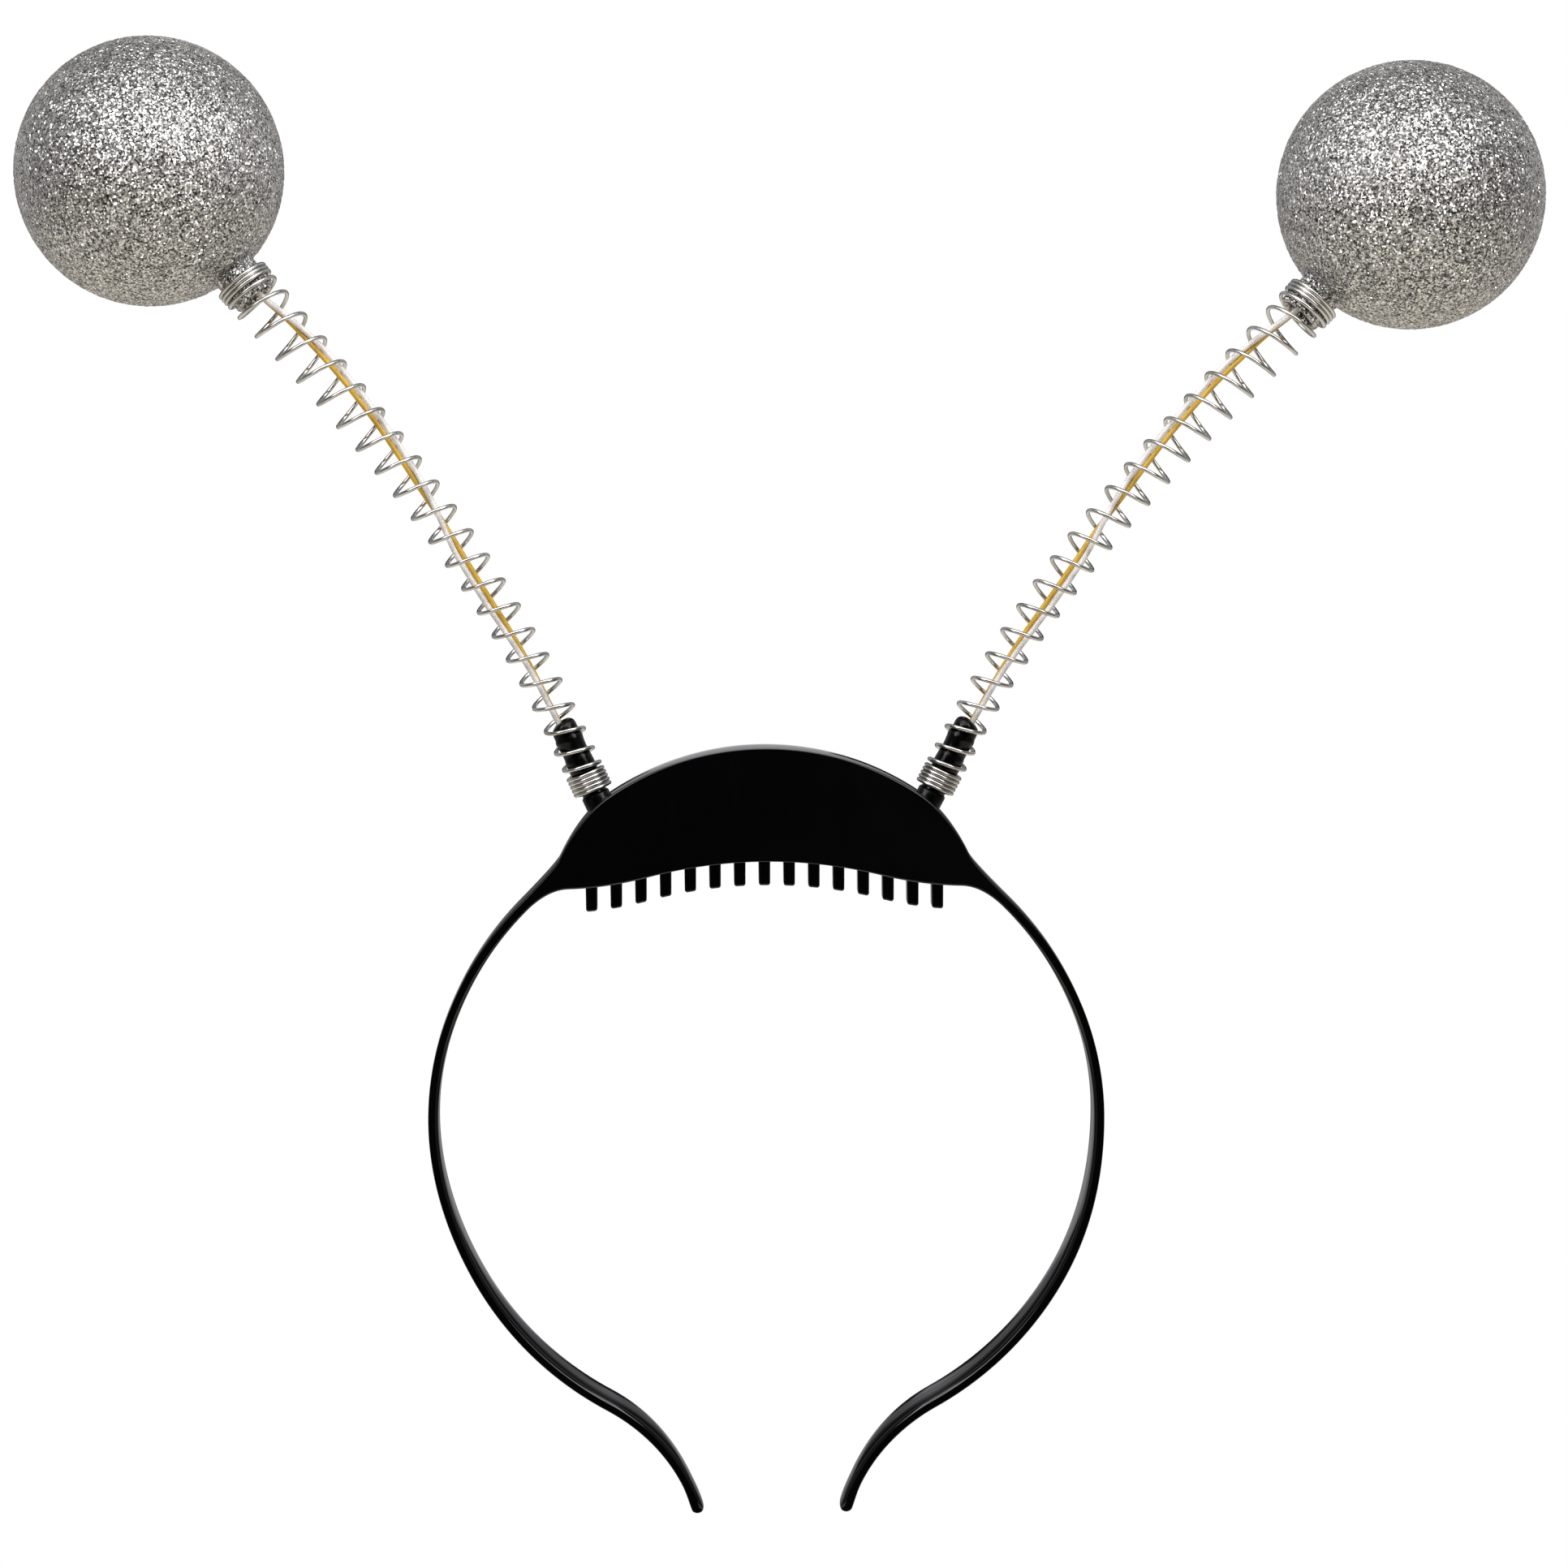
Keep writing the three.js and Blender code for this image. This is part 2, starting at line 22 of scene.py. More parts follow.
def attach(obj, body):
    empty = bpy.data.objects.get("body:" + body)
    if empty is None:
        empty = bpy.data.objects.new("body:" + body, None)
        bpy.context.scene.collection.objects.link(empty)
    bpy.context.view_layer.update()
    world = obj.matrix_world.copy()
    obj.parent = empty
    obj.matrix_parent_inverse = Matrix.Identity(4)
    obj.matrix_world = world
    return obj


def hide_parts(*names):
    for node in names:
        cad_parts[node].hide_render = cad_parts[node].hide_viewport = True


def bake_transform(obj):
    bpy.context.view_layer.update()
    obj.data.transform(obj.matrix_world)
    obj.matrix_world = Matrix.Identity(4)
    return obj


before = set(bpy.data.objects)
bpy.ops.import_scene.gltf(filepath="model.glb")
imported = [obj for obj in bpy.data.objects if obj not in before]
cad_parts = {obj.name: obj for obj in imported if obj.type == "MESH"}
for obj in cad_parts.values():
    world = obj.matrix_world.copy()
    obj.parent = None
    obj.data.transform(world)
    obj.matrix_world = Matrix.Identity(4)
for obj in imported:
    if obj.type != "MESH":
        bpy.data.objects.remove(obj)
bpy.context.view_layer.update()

MM = 0.001
LOG = logging.getLogger("head_bopper")

# Width, in radians, of the flatter stretch half-way round a bevelled edge
BEVEL_SPREAD = 0.16

# Least divisor of a corner's inset, so that a sharp corner doesn't run far ahead
CORNER_LIMIT = 0.6

# Rings of a wire's rounded end: distance past the end and radius, as shares of the full ones
END_RINGS = ((0.75, 0.66), (0.4, 0.92))

Points = np.ndarray
Face = tuple[int, ...]
Pair = tuple[float, float]
Range = tuple[float, float]
Triple = tuple[float, float, float]
Colour = tuple[float, float, float]
Stop = tuple[float, Colour]


class Side(Enum):
    """The two antennae, as seen from the front."""

    LEFT = "left"
    RIGHT = "right"

    @property
    def sign(self) -> int:
        """Direction of the side along X."""
        return -1 if self is Side.LEFT else 1

    @property
    def body(self) -> str:
        """Name of the body that moves with this side's ball."""
        return f"bob_{self.value}"


class LeadColour(Enum):
    """The two leads of an antenna, with their turn round each other."""

    WHITE = 0.0
    YELLOW = 180.0

    @property
    def word(self) -> str:
        """The colour's name."""
        return self.name.lower()


class Slot(Enum):
    """Material slots of the record."""

    PLASTIC = "black_plastic"
    STEEL = "spring_steel"
    GLITTER = "silver_glitter"
    WHITE_LEAD = "white_lead"
    YELLOW_LEAD = "yellow_lead"


# Shader maths

class Wire:
    """An output socket with Python's arithmetic on it, each operation being a Math node."""

    def __init__(self, tree: bpy.types.NodeTree, socket: bpy.types.NodeSocket) -> None:
        """Keeps the socket and the tree that it is in."""
        self.tree = tree
        self.socket = socket

    def maths(self, operation: str, *operands: Wire | float) -> Wire:
        """Adds a Math node.

        Args:
            operation: Name of the node's operation.
            operands: Sockets or numbers, in the node's order.

        Returns:
            The node's result.
        """
        node = self.tree.nodes.new("ShaderNodeMath")
        node.operation = operation
        for entry, operand in zip(node.inputs, operands):
            if isinstance(operand, Wire):
                self.tree.links.new(operand.socket, entry)
            else:
                entry.default_value = operand
        return Wire(self.tree, node.outputs[0])

    def __add__(self, other: Wire | float) -> Wire:
        """Sum."""
        return self.maths("ADD", self, other)

    def __radd__(self, other: float) -> Wire:
        """Sum with a number on the left."""
        return self.maths("ADD", other, self)

    def __sub__(self, other: Wire | float) -> Wire:
        """Difference."""
        return self.maths("SUBTRACT", self, other)

    def __rsub__(self, other: float) -> Wire:
        """Difference from a number."""
        return self.maths("SUBTRACT", other, self)

    def __mul__(self, other: Wire | float) -> Wire:
        """Product."""
        return self.maths("MULTIPLY", self, other)

    def __rmul__(self, other: float) -> Wire:
        """Product with a number on the left."""
        return self.maths("MULTIPLY", other, self)

    def __neg__(self) -> Wire:
        """Negative."""
        return self.maths("MULTIPLY", self, -1.0)

    def __abs__(self) -> Wire:
        """Absolute value."""
        return self.maths("ABSOLUTE", self)


class Shader:
    """A node tree that is being filled."""

    def __init__(self, tree: bpy.types.NodeTree) -> None:
        """Starts from an empty tree."""
        tree.nodes.clear()
        self.tree = tree

    def node(
        self,
        kind: str,
        settings: Mapping[str, object] | None = None,
        sockets: Mapping[str | int, object] | None = None,
    ) -> bpy.types.Node:
        """Adds a node of any type.

        Args:
            kind: Type of the node.
            settings: Its properties, and for a ramp its stops as (place, colour) pairs under "stops".
            sockets: Values or links of its inputs, by name or by number.

        Returns:
            The node.
        """
        node = self.tree.nodes.new(kind)
        for name, value in (settings or {}).items():
            if name == "stops":
                self._set_stops(node.color_ramp, value)
            else:
                setattr(node, name, value)
        for key, value in (sockets or {}).items():
            source = value.socket if isinstance(value, Wire) else value
            if isinstance(source, bpy.types.NodeSocket):
                self.tree.links.new(source, node.inputs[key])
            else:
                node.inputs[key].default_value = source
        return node

    @staticmethod
    def _set_stops(ramp: bpy.types.ColorRamp, stops: Sequence[Stop]) -> None:
        """Sets a ramp's stops.

        Args:
            ramp: A new ramp, which has two stops already.
            stops: Place and colour of each stop.
        """
        while len(ramp.elements) < len(stops):
            ramp.elements.new(1.0)
        for element, (place, colour) in zip(ramp.elements, stops):
            element.position = place
            element.color = opaque(colour)

    def wire(self, node: bpy.types.Node, output: str | int = 0) -> Wire:
        """One output of a node, ready for arithmetic."""
        return Wire(self.tree, node.outputs[output])

    def smooth(self, value: Wire, low: float, high: float) -> Wire:
        """A smooth step from 0 at low to 1 at high."""
        sockets = {"Value": value, "From Min": low, "From Max": high}
        return self.wire(self.node("ShaderNodeMapRange", {"interpolation_type": "SMOOTHSTEP"}, sockets))

    def mix(self, factor: Wire, first: object, second: object) -> bpy.types.NodeSocket:
        """A colour between two colours."""
        sockets = {"Factor": factor, 6: first, 7: second}
        return self.node("ShaderNodeMix", {"data_type": "RGBA"}, sockets).outputs[2]

    def mix_vectors(self, factor: Wire, first: object, second: object) -> bpy.types.NodeSocket:
        """A vector between two vectors."""
        sockets = {"Factor": factor, 4: first, 5: second}
        return self.node("ShaderNodeMix", {"data_type": "VECTOR"}, sockets).outputs[1]

    def vector(self, operation: str, sockets: Mapping[str | int, object]) -> bpy.types.NodeSocket:
        """A vector worked out by a Vector Math node."""
        return self.node("ShaderNodeVectorMath", {"operation": operation}, sockets).outputs[0]

    def noise(self, scale: float, detail: float = 2.0, stretch: Triple = (1.0, 1.0, 1.0)) -> Wire:
        """Adds noise in the object's own metres.

        Args:
            scale: Number of grains in a metre.
            detail: Number of finer layers.
            stretch: Scale along each axis.

        Returns:
            The noise, from 0 to 1.
        """
        place = self.node("ShaderNodeTexCoord").outputs["Object"]
        moved = self.node("ShaderNodeMapping", None, {"Vector": place, "Scale": stretch}).outputs[0]
        sockets = {"Vector": moved, "Scale": scale, "Detail": detail}
        return self.wire(self.node("ShaderNodeTexNoise", None, sockets), "Fac")

    def bump(self, height: Wire, strength: float, distance: float) -> bpy.types.NodeSocket:
        """A normal roughened by a height."""
        sockets = {"Height": height, "Strength": strength, "Distance": distance}
        return self.node("ShaderNodeBump", None, sockets).outputs[0]

    def surface(self, sockets: Mapping[str, object]) -> None:
        """Ends the tree in a Principled surface with these inputs."""
        skin = self.node("ShaderNodeBsdfPrincipled", None, sockets)
        self.node("ShaderNodeOutputMaterial", None, {"Surface": skin.outputs[0]})


def new_material(name: str) -> tuple[bpy.types.Material, Shader]:
    """Makes a material with an empty node tree.

    Args:
        name: Name of the material.

    Returns:
        The material and the tree to fill.
    """
    material = bpy.data.materials.new(name)
    material.use_nodes = True
    return material, Shader(material.node_tree)


def opaque(colour: Colour) -> tuple[float, float, float, float]:
    """A colour as a socket takes it."""
    return (*colour, 1.0)


def grey(value: float) -> tuple[float, float, float, float]:
    """A neutral colour as a socket takes it."""
    return opaque((value, value, value))


# Finishes

@dataclass(frozen=True)
class GlossBlack:
    """Glossy black moulding, with a faint flow ripple, fine streaks and a little handling haze."""

    name: str
    base: Colour = (0.0009, 0.0009, 0.001)
    haze: Colour = (0.0022, 0.0022, 0.0024)
    roughness: float = 0.05
    haze_roughness: float = 0.07
    specular: float = 0.5
    patch_scale: float = 38.0
    patch_edge: Range = (0.42, 0.72)
    patch_share: float = 0.6
    wipe_scale: float = 260.0
    wipe_stretch: Triple = (1.0, 1.0, 0.18)
    wipe_edge: Range = (0.55, 0.8)
    ripple_scale: float = 420.0
    ripple_share: float = 0.42
    streak_scale: float = 750.0
    streak_stretch: Triple = (0.03, 1.0, 0.03)
    streak_height: float = 0.00001

    def material(self) -> bpy.types.Material:
        """Makes the finish.

        Returns:
            The material.
        """
        material, shader = new_material(self.name)
        patches = shader.smooth(shader.noise(self.patch_scale, detail=4.0), *self.patch_edge)
        wipe_noise = shader.noise(self.wipe_scale, detail=3.0, stretch=self.wipe_stretch)
        wipes = shader.smooth(wipe_noise, *self.wipe_edge)
        haze = patches * self.patch_share + wipes * (1 - self.patch_share)
        ripple = shader.noise(self.ripple_scale, detail=1.0)
        streaks = shader.noise(self.streak_scale, detail=3.0, stretch=self.streak_stretch)
        height = ripple * self.ripple_share + streaks
        shader.surface(
            {
                "Base Color": shader.mix(haze, opaque(self.base), opaque(self.haze)),
                "Roughness": self.roughness + haze * self.haze_roughness,
                "Normal": shader.bump(height, 1.0, self.streak_height),
                "Specular IOR Level": self.specular,
            }
        )
        return material


@dataclass(frozen=True)
class SpringSteel:
    """Bright drawn wire, with fine die lines and duller stretches."""

    name: str
    base: Colour = (0.63, 0.615, 0.59)
    dull: Colour = (0.4, 0.39, 0.365)
    roughness: float = 0.1
    dull_roughness: float = 0.14
    stretch_scale: float = 170.0
    stretch_edge: Range = (0.4, 0.7)
    line_scale: float = 4200.0
    line_stretch: Triple = (1.0, 1.0, 0.25)
    line_share: float = 0.45
    line_bump: float = 0.08
    line_height: float = 0.000006

    def material(self) -> bpy.types.Material:
        """Makes the finish.

        Returns:
            The material.
        """
        material, shader = new_material(self.name)
        stretches = shader.smooth(shader.noise(self.stretch_scale, detail=3.0), *self.stretch_edge)
        lines = shader.noise(self.line_scale, stretch=self.line_stretch)
        dullness = stretches * ((1 - self.line_share) + lines * self.line_share)
        shader.surface(
            {
                "Base Color": shader.mix(dullness, opaque(self.base), opaque(self.dull)),
                "Roughness": self.roughness + dullness * self.dull_roughness,
                "Metallic": 1.0,
                "Normal": shader.bump(lines, self.line_bump, self.line_height),
            }
        )
        return material


@dataclass(frozen=True)
class Chips:
    """A field of chips on a surface.

    The reach is the distance from a chip's middle as a share of the spacing. Tone, polish and chance are
    random numbers of the chip, and its lean is a vector that is small for most chips.
    """

    reach: Wire
    tone: Wire
    polish: Wire
    chance: Wire
    lean: bpy.types.NodeSocket

    @classmethod
    def scattered(cls, shader: Shader, spacing: float) -> Chips:
        """Scatters chips over the surface.

        Args:
            shader: The node tree.
            spacing: Distance between chips.

        Returns:
            The chips.
        """
        place = shader.node("ShaderNodeTexCoord").outputs["Object"]
        sockets = {"Vector": place, "Scale": 1.0 / (spacing * MM)}
        cells = shader.node("ShaderNodeTexVoronoi", None, sockets)
        dice = shader.node("ShaderNodeTexWhiteNoise", None, {"Vector": cells.outputs["Color"]})
        more = shader.node("ShaderNodeSeparateXYZ", None, {0: dice.outputs["Color"]})
        centred = shader.vector("SUBTRACT", {0: cells.outputs["Color"], 1: (0.5, 0.5, 0.5)})
        return cls(
            reach=shader.wire(cells, "Distance"),
            tone=shader.wire(dice, "Value"),
            polish=shader.wire(more, 0),
            chance=shader.wire(more, 1),
            lean=shader.vector("MULTIPLY", {0: centred, 1: shader.vector("ABSOLUTE", {0: centred})}),
        )


@dataclass(frozen=True)
class SilverGlitter:
    """Fine metal grains under larger round flakes, each with its own tone, polish and tilt."""

    name: str
    grain: float = 0.31
    grain_stops: tuple[Stop, ...] = (
        (0.0, (0.015, 0.015, 0.015)),
        (0.3, (0.14, 0.138, 0.135)),
        (0.65, (0.47, 0.462, 0.445)),
        (1.0, (0.9, 0.88, 0.85)),
    )
    grain_tilt: float = 3.2
    grain_roughness: Range = (0.2, 0.42)
    flake: float = 0.62
    flake_edge: Range = (0.357, 0.42)
    flake_chance: Range = (0.7, 0.71)
    flake_stops: tuple[Stop, ...] = (
        (0.0, (0.3, 0.3, 0.3)),
        (0.4, (0.66, 0.65, 0.635)),
        (0.85, (0.93, 0.91, 0.89)),
        (1.0, (0.99, 0.88, 0.86)),
    )
    flake_tilt: float = 3.4
    flake_roughness: Range = (0.06, 0.18)
    metallic: float = 0.95
    sheen: float = 0.28
    sheen_roughness: float = 0.4
    sheen_tint: Colour = (1.0, 0.96, 0.91)

    def material(self) -> bpy.types.Material:
        """Makes the finish.

        Returns:
            The material.
        """
        material, shader = new_material(self.name)
        grains = Chips.scattered(shader, self.grain)
        flakes = Chips.scattered(shader, self.flake)
        on_top = 1 - shader.smooth(flakes.reach, *self.flake_edge)
        on_top = on_top * (1 - shader.smooth(flakes.chance, *self.flake_chance))
        grain_ramp = shader.node("ShaderNodeValToRGB", {"stops": self.grain_stops}, {"Fac": grains.tone})
        flake_ramp = shader.node("ShaderNodeValToRGB", {"stops": self.flake_stops}, {"Fac": flakes.tone})
        small = shader.vector("SCALE", {0: grains.lean, "Scale": self.grain_tilt})
        large = shader.vector("SCALE", {0: flakes.lean, "Scale": self.flake_tilt})
        skin = shader.node("ShaderNodeNewGeometry").outputs["Normal"]
        tilted = shader.vector("ADD", {0: skin, 1: shader.mix_vectors(on_top, small, large)})
        grain_low, grain_high = self.grain_roughness
        flake_low, flake_high = self.flake_roughness
        grain_rough = grain_low + grains.polish * (grain_high - grain_low)
        flake_rough = flake_low + flakes.polish * (flake_high - flake_low)
        shader.surface(
            {
                "Base Color": shader.mix(on_top, grain_ramp.outputs[0], flake_ramp.outputs[0]),
                "Roughness": grain_rough + on_top * (flake_rough - grain_rough),
                "Metallic": self.metallic,
                "Sheen Weight": self.sheen,
                "Sheen Roughness": self.sheen_roughness,
                "Sheen Tint": opaque(self.sheen_tint),
                "Normal": shader.vector("NORMALIZE", {0: tilted}),
            }
        )
        return material


@dataclass(frozen=True)
class Insulation:
    """Smooth wire insulation, a little darker where it was handled."""

    name: str
    base: Colour
    handled: Colour
    roughness: float = 0.34
    mark_scale: float = 300.0
    mark_edge: Range = (0.45, 0.75)
    grain_scale: float = 5200.0
    grain_roughness: float = 0.08
    grain_bump: float = 0.04
    grain_height: float = 0.000006

    def material(self) -> bpy.types.Material:
        """Makes the finish.

        Returns:
            The material.
        """
        material, shader = new_material(self.name)
        marks = shader.smooth(shader.noise(self.mark_scale, detail=4.0), *self.mark_edge)
        grain = shader.noise(self.grain_scale)
        shader.surface(
            {
                "Base Color": shader.mix(marks, opaque(self.base), opaque(self.handled)),
                "Roughness": self.roughness + grain * self.grain_roughness,
                "Normal": shader.bump(grain, self.grain_bump, self.grain_height),
            }
        )
        return material


BAND_BLACK = GlossBlack("gloss_black_plastic")
POST_BLACK = GlossBlack(
    "post_black_plastic", roughness=0.15, haze_roughness=0.16, ripple_share=1.4, specular=0.2
)
DRAWN_STEEL = SpringSteel("drawn_spring_steel")
GLITTER_COAT = SilverGlitter("silver_glitter_flakes")
WHITE_INSULATION = Insulation("white_insulation", (0.76, 0.725, 0.71), (0.58, 0.535, 0.505))
YELLOW_INSULATION = Insulation("yellow_insulation", (0.6, 0.365, 0.034), (0.46, 0.26, 0.022))


# Points and lines

def unit(vectors: Points) -> Points:
    """Vectors scaled to a length of one, row by row."""
    return vectors / np.linalg.norm(vectors, axis=-1, keepdims=True)


def ramp(low: float, high: float, value: Points) -> Points:
    """A straight rise from 0 at low to 1 at high, where low may be the larger one."""
    return np.clip((np.asarray(value, float) - low) / (high - low), 0.0, 1.0)


def smoothstep(low: float, high: float, value: Points) -> Points:
    """A smooth rise from 0 at low to 1 at high, where low may be the larger one."""
    share = ramp(low, high, value)
    return share * share * (3.0 - 2.0 * share)


def full_turn(sides: int) -> Points:
    """Evenly spaced angles of one turn, in radians."""
    return np.linspace(0.0, 2 * math.pi, sides, endpoint=False)


def direction(angle: float) -> Points:
    """Direction at an angle that is counted from +X towards +Z."""
    turn = math.radians(angle)
    return np.array([math.cos(turn), math.sin(turn)])


def angle_of(line: Points) -> float:
    """Angle of a direction, counted from +X towards +Z."""
    return math.degrees(math.atan2(line[1], line[0]))


def arc(x: float, z: float, radius: float, start: float, stop: float, steps: int) -> Points:
    """Draws an arc from the front.

    Args:
        x: Centre's place to the right.
        z: Centre's height.
        radius: Radius.
        start: First angle, counted from +X towards +Z.
        stop: Last angle.
        steps: Number of steps.

    Returns:
        Rows of x and z.
    """
    angles = np.radians(np.linspace(start, stop, steps + 1))
    return np.stack([x + radius * np.cos(angles), z + radius * np.sin(angles)], axis=1)


def curve(controls: Sequence[Points], steps: int) -> Points:
    """Draws a curve between its outer controls, pulled towards the inner ones.

    Args:
        controls: The curve's control points.
        steps: Number of steps.

    Returns:
        The curve's points.
    """
    share = np.linspace(0.0, 1.0, steps + 1)[:, None]
    order = len(controls) - 1
    terms = [
        math.comb(order, i) * (1 - share) ** (order - i) * share**i * control
        for i, control in enumerate(controls)
    ]
    return np.sum(terms, axis=0)


def meeting(start: Points, start_angle: float, stop: Points, stop_angle: float) -> Points:
    """Finds the place where two lines meet.

    Args:
        start: A point of the first line.
        start_angle: The first line's angle.
        stop: A point of the second line.
        stop_angle: The second line's angle.

    Returns:
        The common point.
    """
    along, other = direction(start_angle), direction(stop_angle)
    across = np.array([-other[1], other[0]])
    return start + along * ((stop - start) @ across / (along @ across))


def mirrored(points: Points) -> Points:
    """The mirror image of an outline, in the reverse order."""
    return (points * np.array([-1.0, 1.0]))[::-1]


def lengths_along(path: Points) -> Points:
    """Distance of each point of a path from its start."""
    steps = np.linalg.norm(np.diff(path, axis=0), axis=1)
    return np.concatenate([[0.0], np.cumsum(steps)])


def read_between(places: Points, known: Points, rows: Points) -> Points:
    """Rows at some places, read between the rows at the known places."""
    return np.stack([np.interp(places, known, column) for column in rows.T], axis=1)


def inset_directions(outline: Points) -> Points:
    """Works out how the points of an outline move for one millimetre of inset.

    Args:
        outline: Rows of x and z, going round once with the inside on the left.

    Returns:
        Each point's direction, longer at a corner.
    """
    before = unit(outline - np.roll(outline, 1, axis=0))
    after = unit(np.roll(outline, -1, axis=0) - outline)
    left_before = np.stack([-before[:, 1], before[:, 0]], axis=1)
    left_after = np.stack([-after[:, 1], after[:, 0]], axis=1)
    share = 1.0 + (left_before * left_after).sum(axis=1, keepdims=True)
    return (left_before + left_after) / np.maximum(share, CORNER_LIMIT)


# Meshes

def ring_faces(rings: int, sides: int) -> list[Face]:
    """Lists the quads between neighbouring rings.

    Args:
        rings: Number of rings.
        sides: Number of points in each of them.

    Returns:
        The faces.
    """
    row = np.arange(rings - 1)[:, None] * sides
    here = np.arange(sides)[None, :]
    after = (here + 1) % sides
    quads = np.stack([row + here, row + after, row + sides + after, row + sides + here], axis=-1)
    return [tuple(quad) for quad in quads.reshape(-1, 4).tolist()]


def fan_faces(tip: int, first: int, sides: int) -> list[Face]:
    """Triangles between a tip point and a ring."""
    return [(tip, first + i, first + (i + 1) % sides) for i in range(sides)]


def capped(rings: Points, tips: Sequence[Points]) -> tuple[Points, list[Face]]:
    """Closes a row of rings with a tip at either end.

    Args:
        rings: The rings, each with the same number of points.
        tips: First and last point.

    Returns:
        Points and faces of the closed mesh.
    """
    count, sides = rings.shape[:2]
    faces = ring_faces(count, sides)
    faces += fan_faces(count * sides, 0, sides)
    faces += fan_faces(count * sides + 1, (count - 1) * sides, sides)
    return np.concatenate([rings.reshape(-1, 3), np.stack(tips)]), faces


def solid(name: str, points: Points, faces: Sequence[Face], crease: float | None = None) -> bpy.types.Object:
    """Makes an object with outward faces.

    Args:
        name: Name of the object.
        points: Rows of x, y and z.
        faces: Point numbers of each face.
        crease: Angle above which an edge stays sharp, or None for flat faces.

    Returns:
        The object, linked to the scene.
    """
    mesh = bpy.data.meshes.new(name)
    mesh.from_pydata((np.asarray(points) * MM).tolist(), [], faces)
    shape = bmesh.new()
    shape.from_mesh(mesh)
    bmesh.ops.recalc_face_normals(shape, faces=shape.faces)
    shape.to_mesh(mesh)
    shape.free()
    piece = bpy.data.objects.new(name, mesh)
    bpy.context.scene.collection.objects.link(piece)
    shade(piece, crease)
    return piece


def shade(piece: bpy.types.Object, crease: float | None) -> None:
    """Smooths a piece.

    Args:
        piece: The piece.
        crease: Angle above which an edge stays sharp, or None for flat faces.
    """
    if crease is None:
        piece.data.shade_flat()
        return
    piece.data.shade_smooth()
    piece.data.set_sharp_from_angle(angle=math.radians(crease))


def settle(piece: bpy.types.Object) -> None:
    """Puts a piece's modifiers into its mesh.

    Args:
        piece: The piece.
    """
    graph = bpy.context.evaluated_depsgraph_get()
    mesh = bpy.data.meshes.new_from_object(piece.evaluated_get(graph))
    old = piece.data
    piece.modifiers.clear()
    piece.data = mesh
    mesh.name = piece.name
    bpy.data.meshes.remove(old)


def combine(piece: bpy.types.Object, tools: Sequence[bpy.types.Object], operation: str) -> None:
    """Joins tools to a piece or cuts them from it, and removes them.

    Args:
        piece: Object that stays.
        tools: Objects that are used up.
        operation: UNION or DIFFERENCE.
    """
    for tool in tools:
        step = piece.modifiers.new(tool.name, "BOOLEAN")
        step.operation = operation
        step.solver = "EXACT"
        step.object = tool
    settle(piece)
    for tool in tools:
        mesh = tool.data
        bpy.data.objects.remove(tool)
        bpy.data.meshes.remove(mesh)


def even_normals(piece: bpy.types.Object, crease: float) -> None:
    """Smooths a piece so that its broad faces stay flat beside their rounded edges.

    Args:
        piece: The piece.
        crease: Angle above which an edge stays sharp.
    """
    shade(piece, crease)
    step = piece.modifiers.new("even_normals", "WEIGHTED_NORMAL")
    step.mode = "FACE_AREA"
    step.weight = 100
    step.keep_sharp = True
    settle(piece)


@dataclass(frozen=True)
class Loop:
    """One loop of a plate's side: depth and inset, and the shares of the edge's radius added to them."""

    depth: float
    inset: float = 0.0
    depth_share: float = 0.0
    inset_share: float = 0.0


def slab(
    name: str,
    outline: Points,
    loops: Sequence[Loop],
    crease: float,
    radius: Callable[[Points, Points], Points] | float = 0.0,
    depth_share: Callable[[Points], Points] = np.ones_like,
) -> bpy.types.Object:
    """Makes a plate from an outline drawn from the front.

    Args:
        name: Name of the object.
        outline: Rows of x and z, going round once.
        loops: The side's loops, from the front face to the back face.
        crease: Angle above which an edge stays sharp.
        radius: Radius of the rounded edges, or a rule that gives it for the outline's points and
            the directions from them into the plate.
        depth_share: Share of the depth that is left at each height.

    Returns:
        The object.
    """
    after = np.roll(outline, -1, axis=0)
    area = np.sum(outline[:, 0] * after[:, 1] - after[:, 0] * outline[:, 1])
    outline = outline if area > 0 else outline[::-1]
    inward = inset_directions(outline)
    share = depth_share(outline[:, 1])
    rounding = radius(outline, inward) if callable(radius) else np.full(len(outline), radius)
    rings = []
    for loop in loops:
        flat = outline + inward * (loop.inset + loop.inset_share * rounding)[:, None]
        depth = (loop.depth + loop.depth_share * rounding) * share
        rings.append(np.stack([flat[:, 0], depth, flat[:, 1]], axis=1))
    count = len(outline)
    last = (len(rings) - 1) * count
    faces = ring_faces(len(rings), count)
    faces.append(tuple(range(count)))
    faces.append(tuple(range(last + count - 1, last - 1, -1)))
    return solid(name, np.concatenate(rings), faces, crease)


def edge_turns(steps: int, bevel: float) -> list[Pair]:
    """Divides a rounded edge of radius one, which is flatter half-way for a larger bevel.

    Args:
        steps: Number of steps.
        bevel: How much longer the steps half-way are.

    Returns:
        Rows of distance behind the face and inset.
    """
    turns = (np.arange(steps) + 0.5) / steps * math.pi / 2
    lengths = 1.0 + bevel * np.exp(-(((turns - math.pi / 4) / BEVEL_SPREAD) ** 2))
    behind = np.concatenate([[0.0], np.cumsum(lengths * np.sin(turns))])
    inside = np.concatenate([[0.0], np.cumsum(lengths * np.cos(turns))])
    return [*zip(behind / behind[-1], 1.0 - inside / inside[-1])]


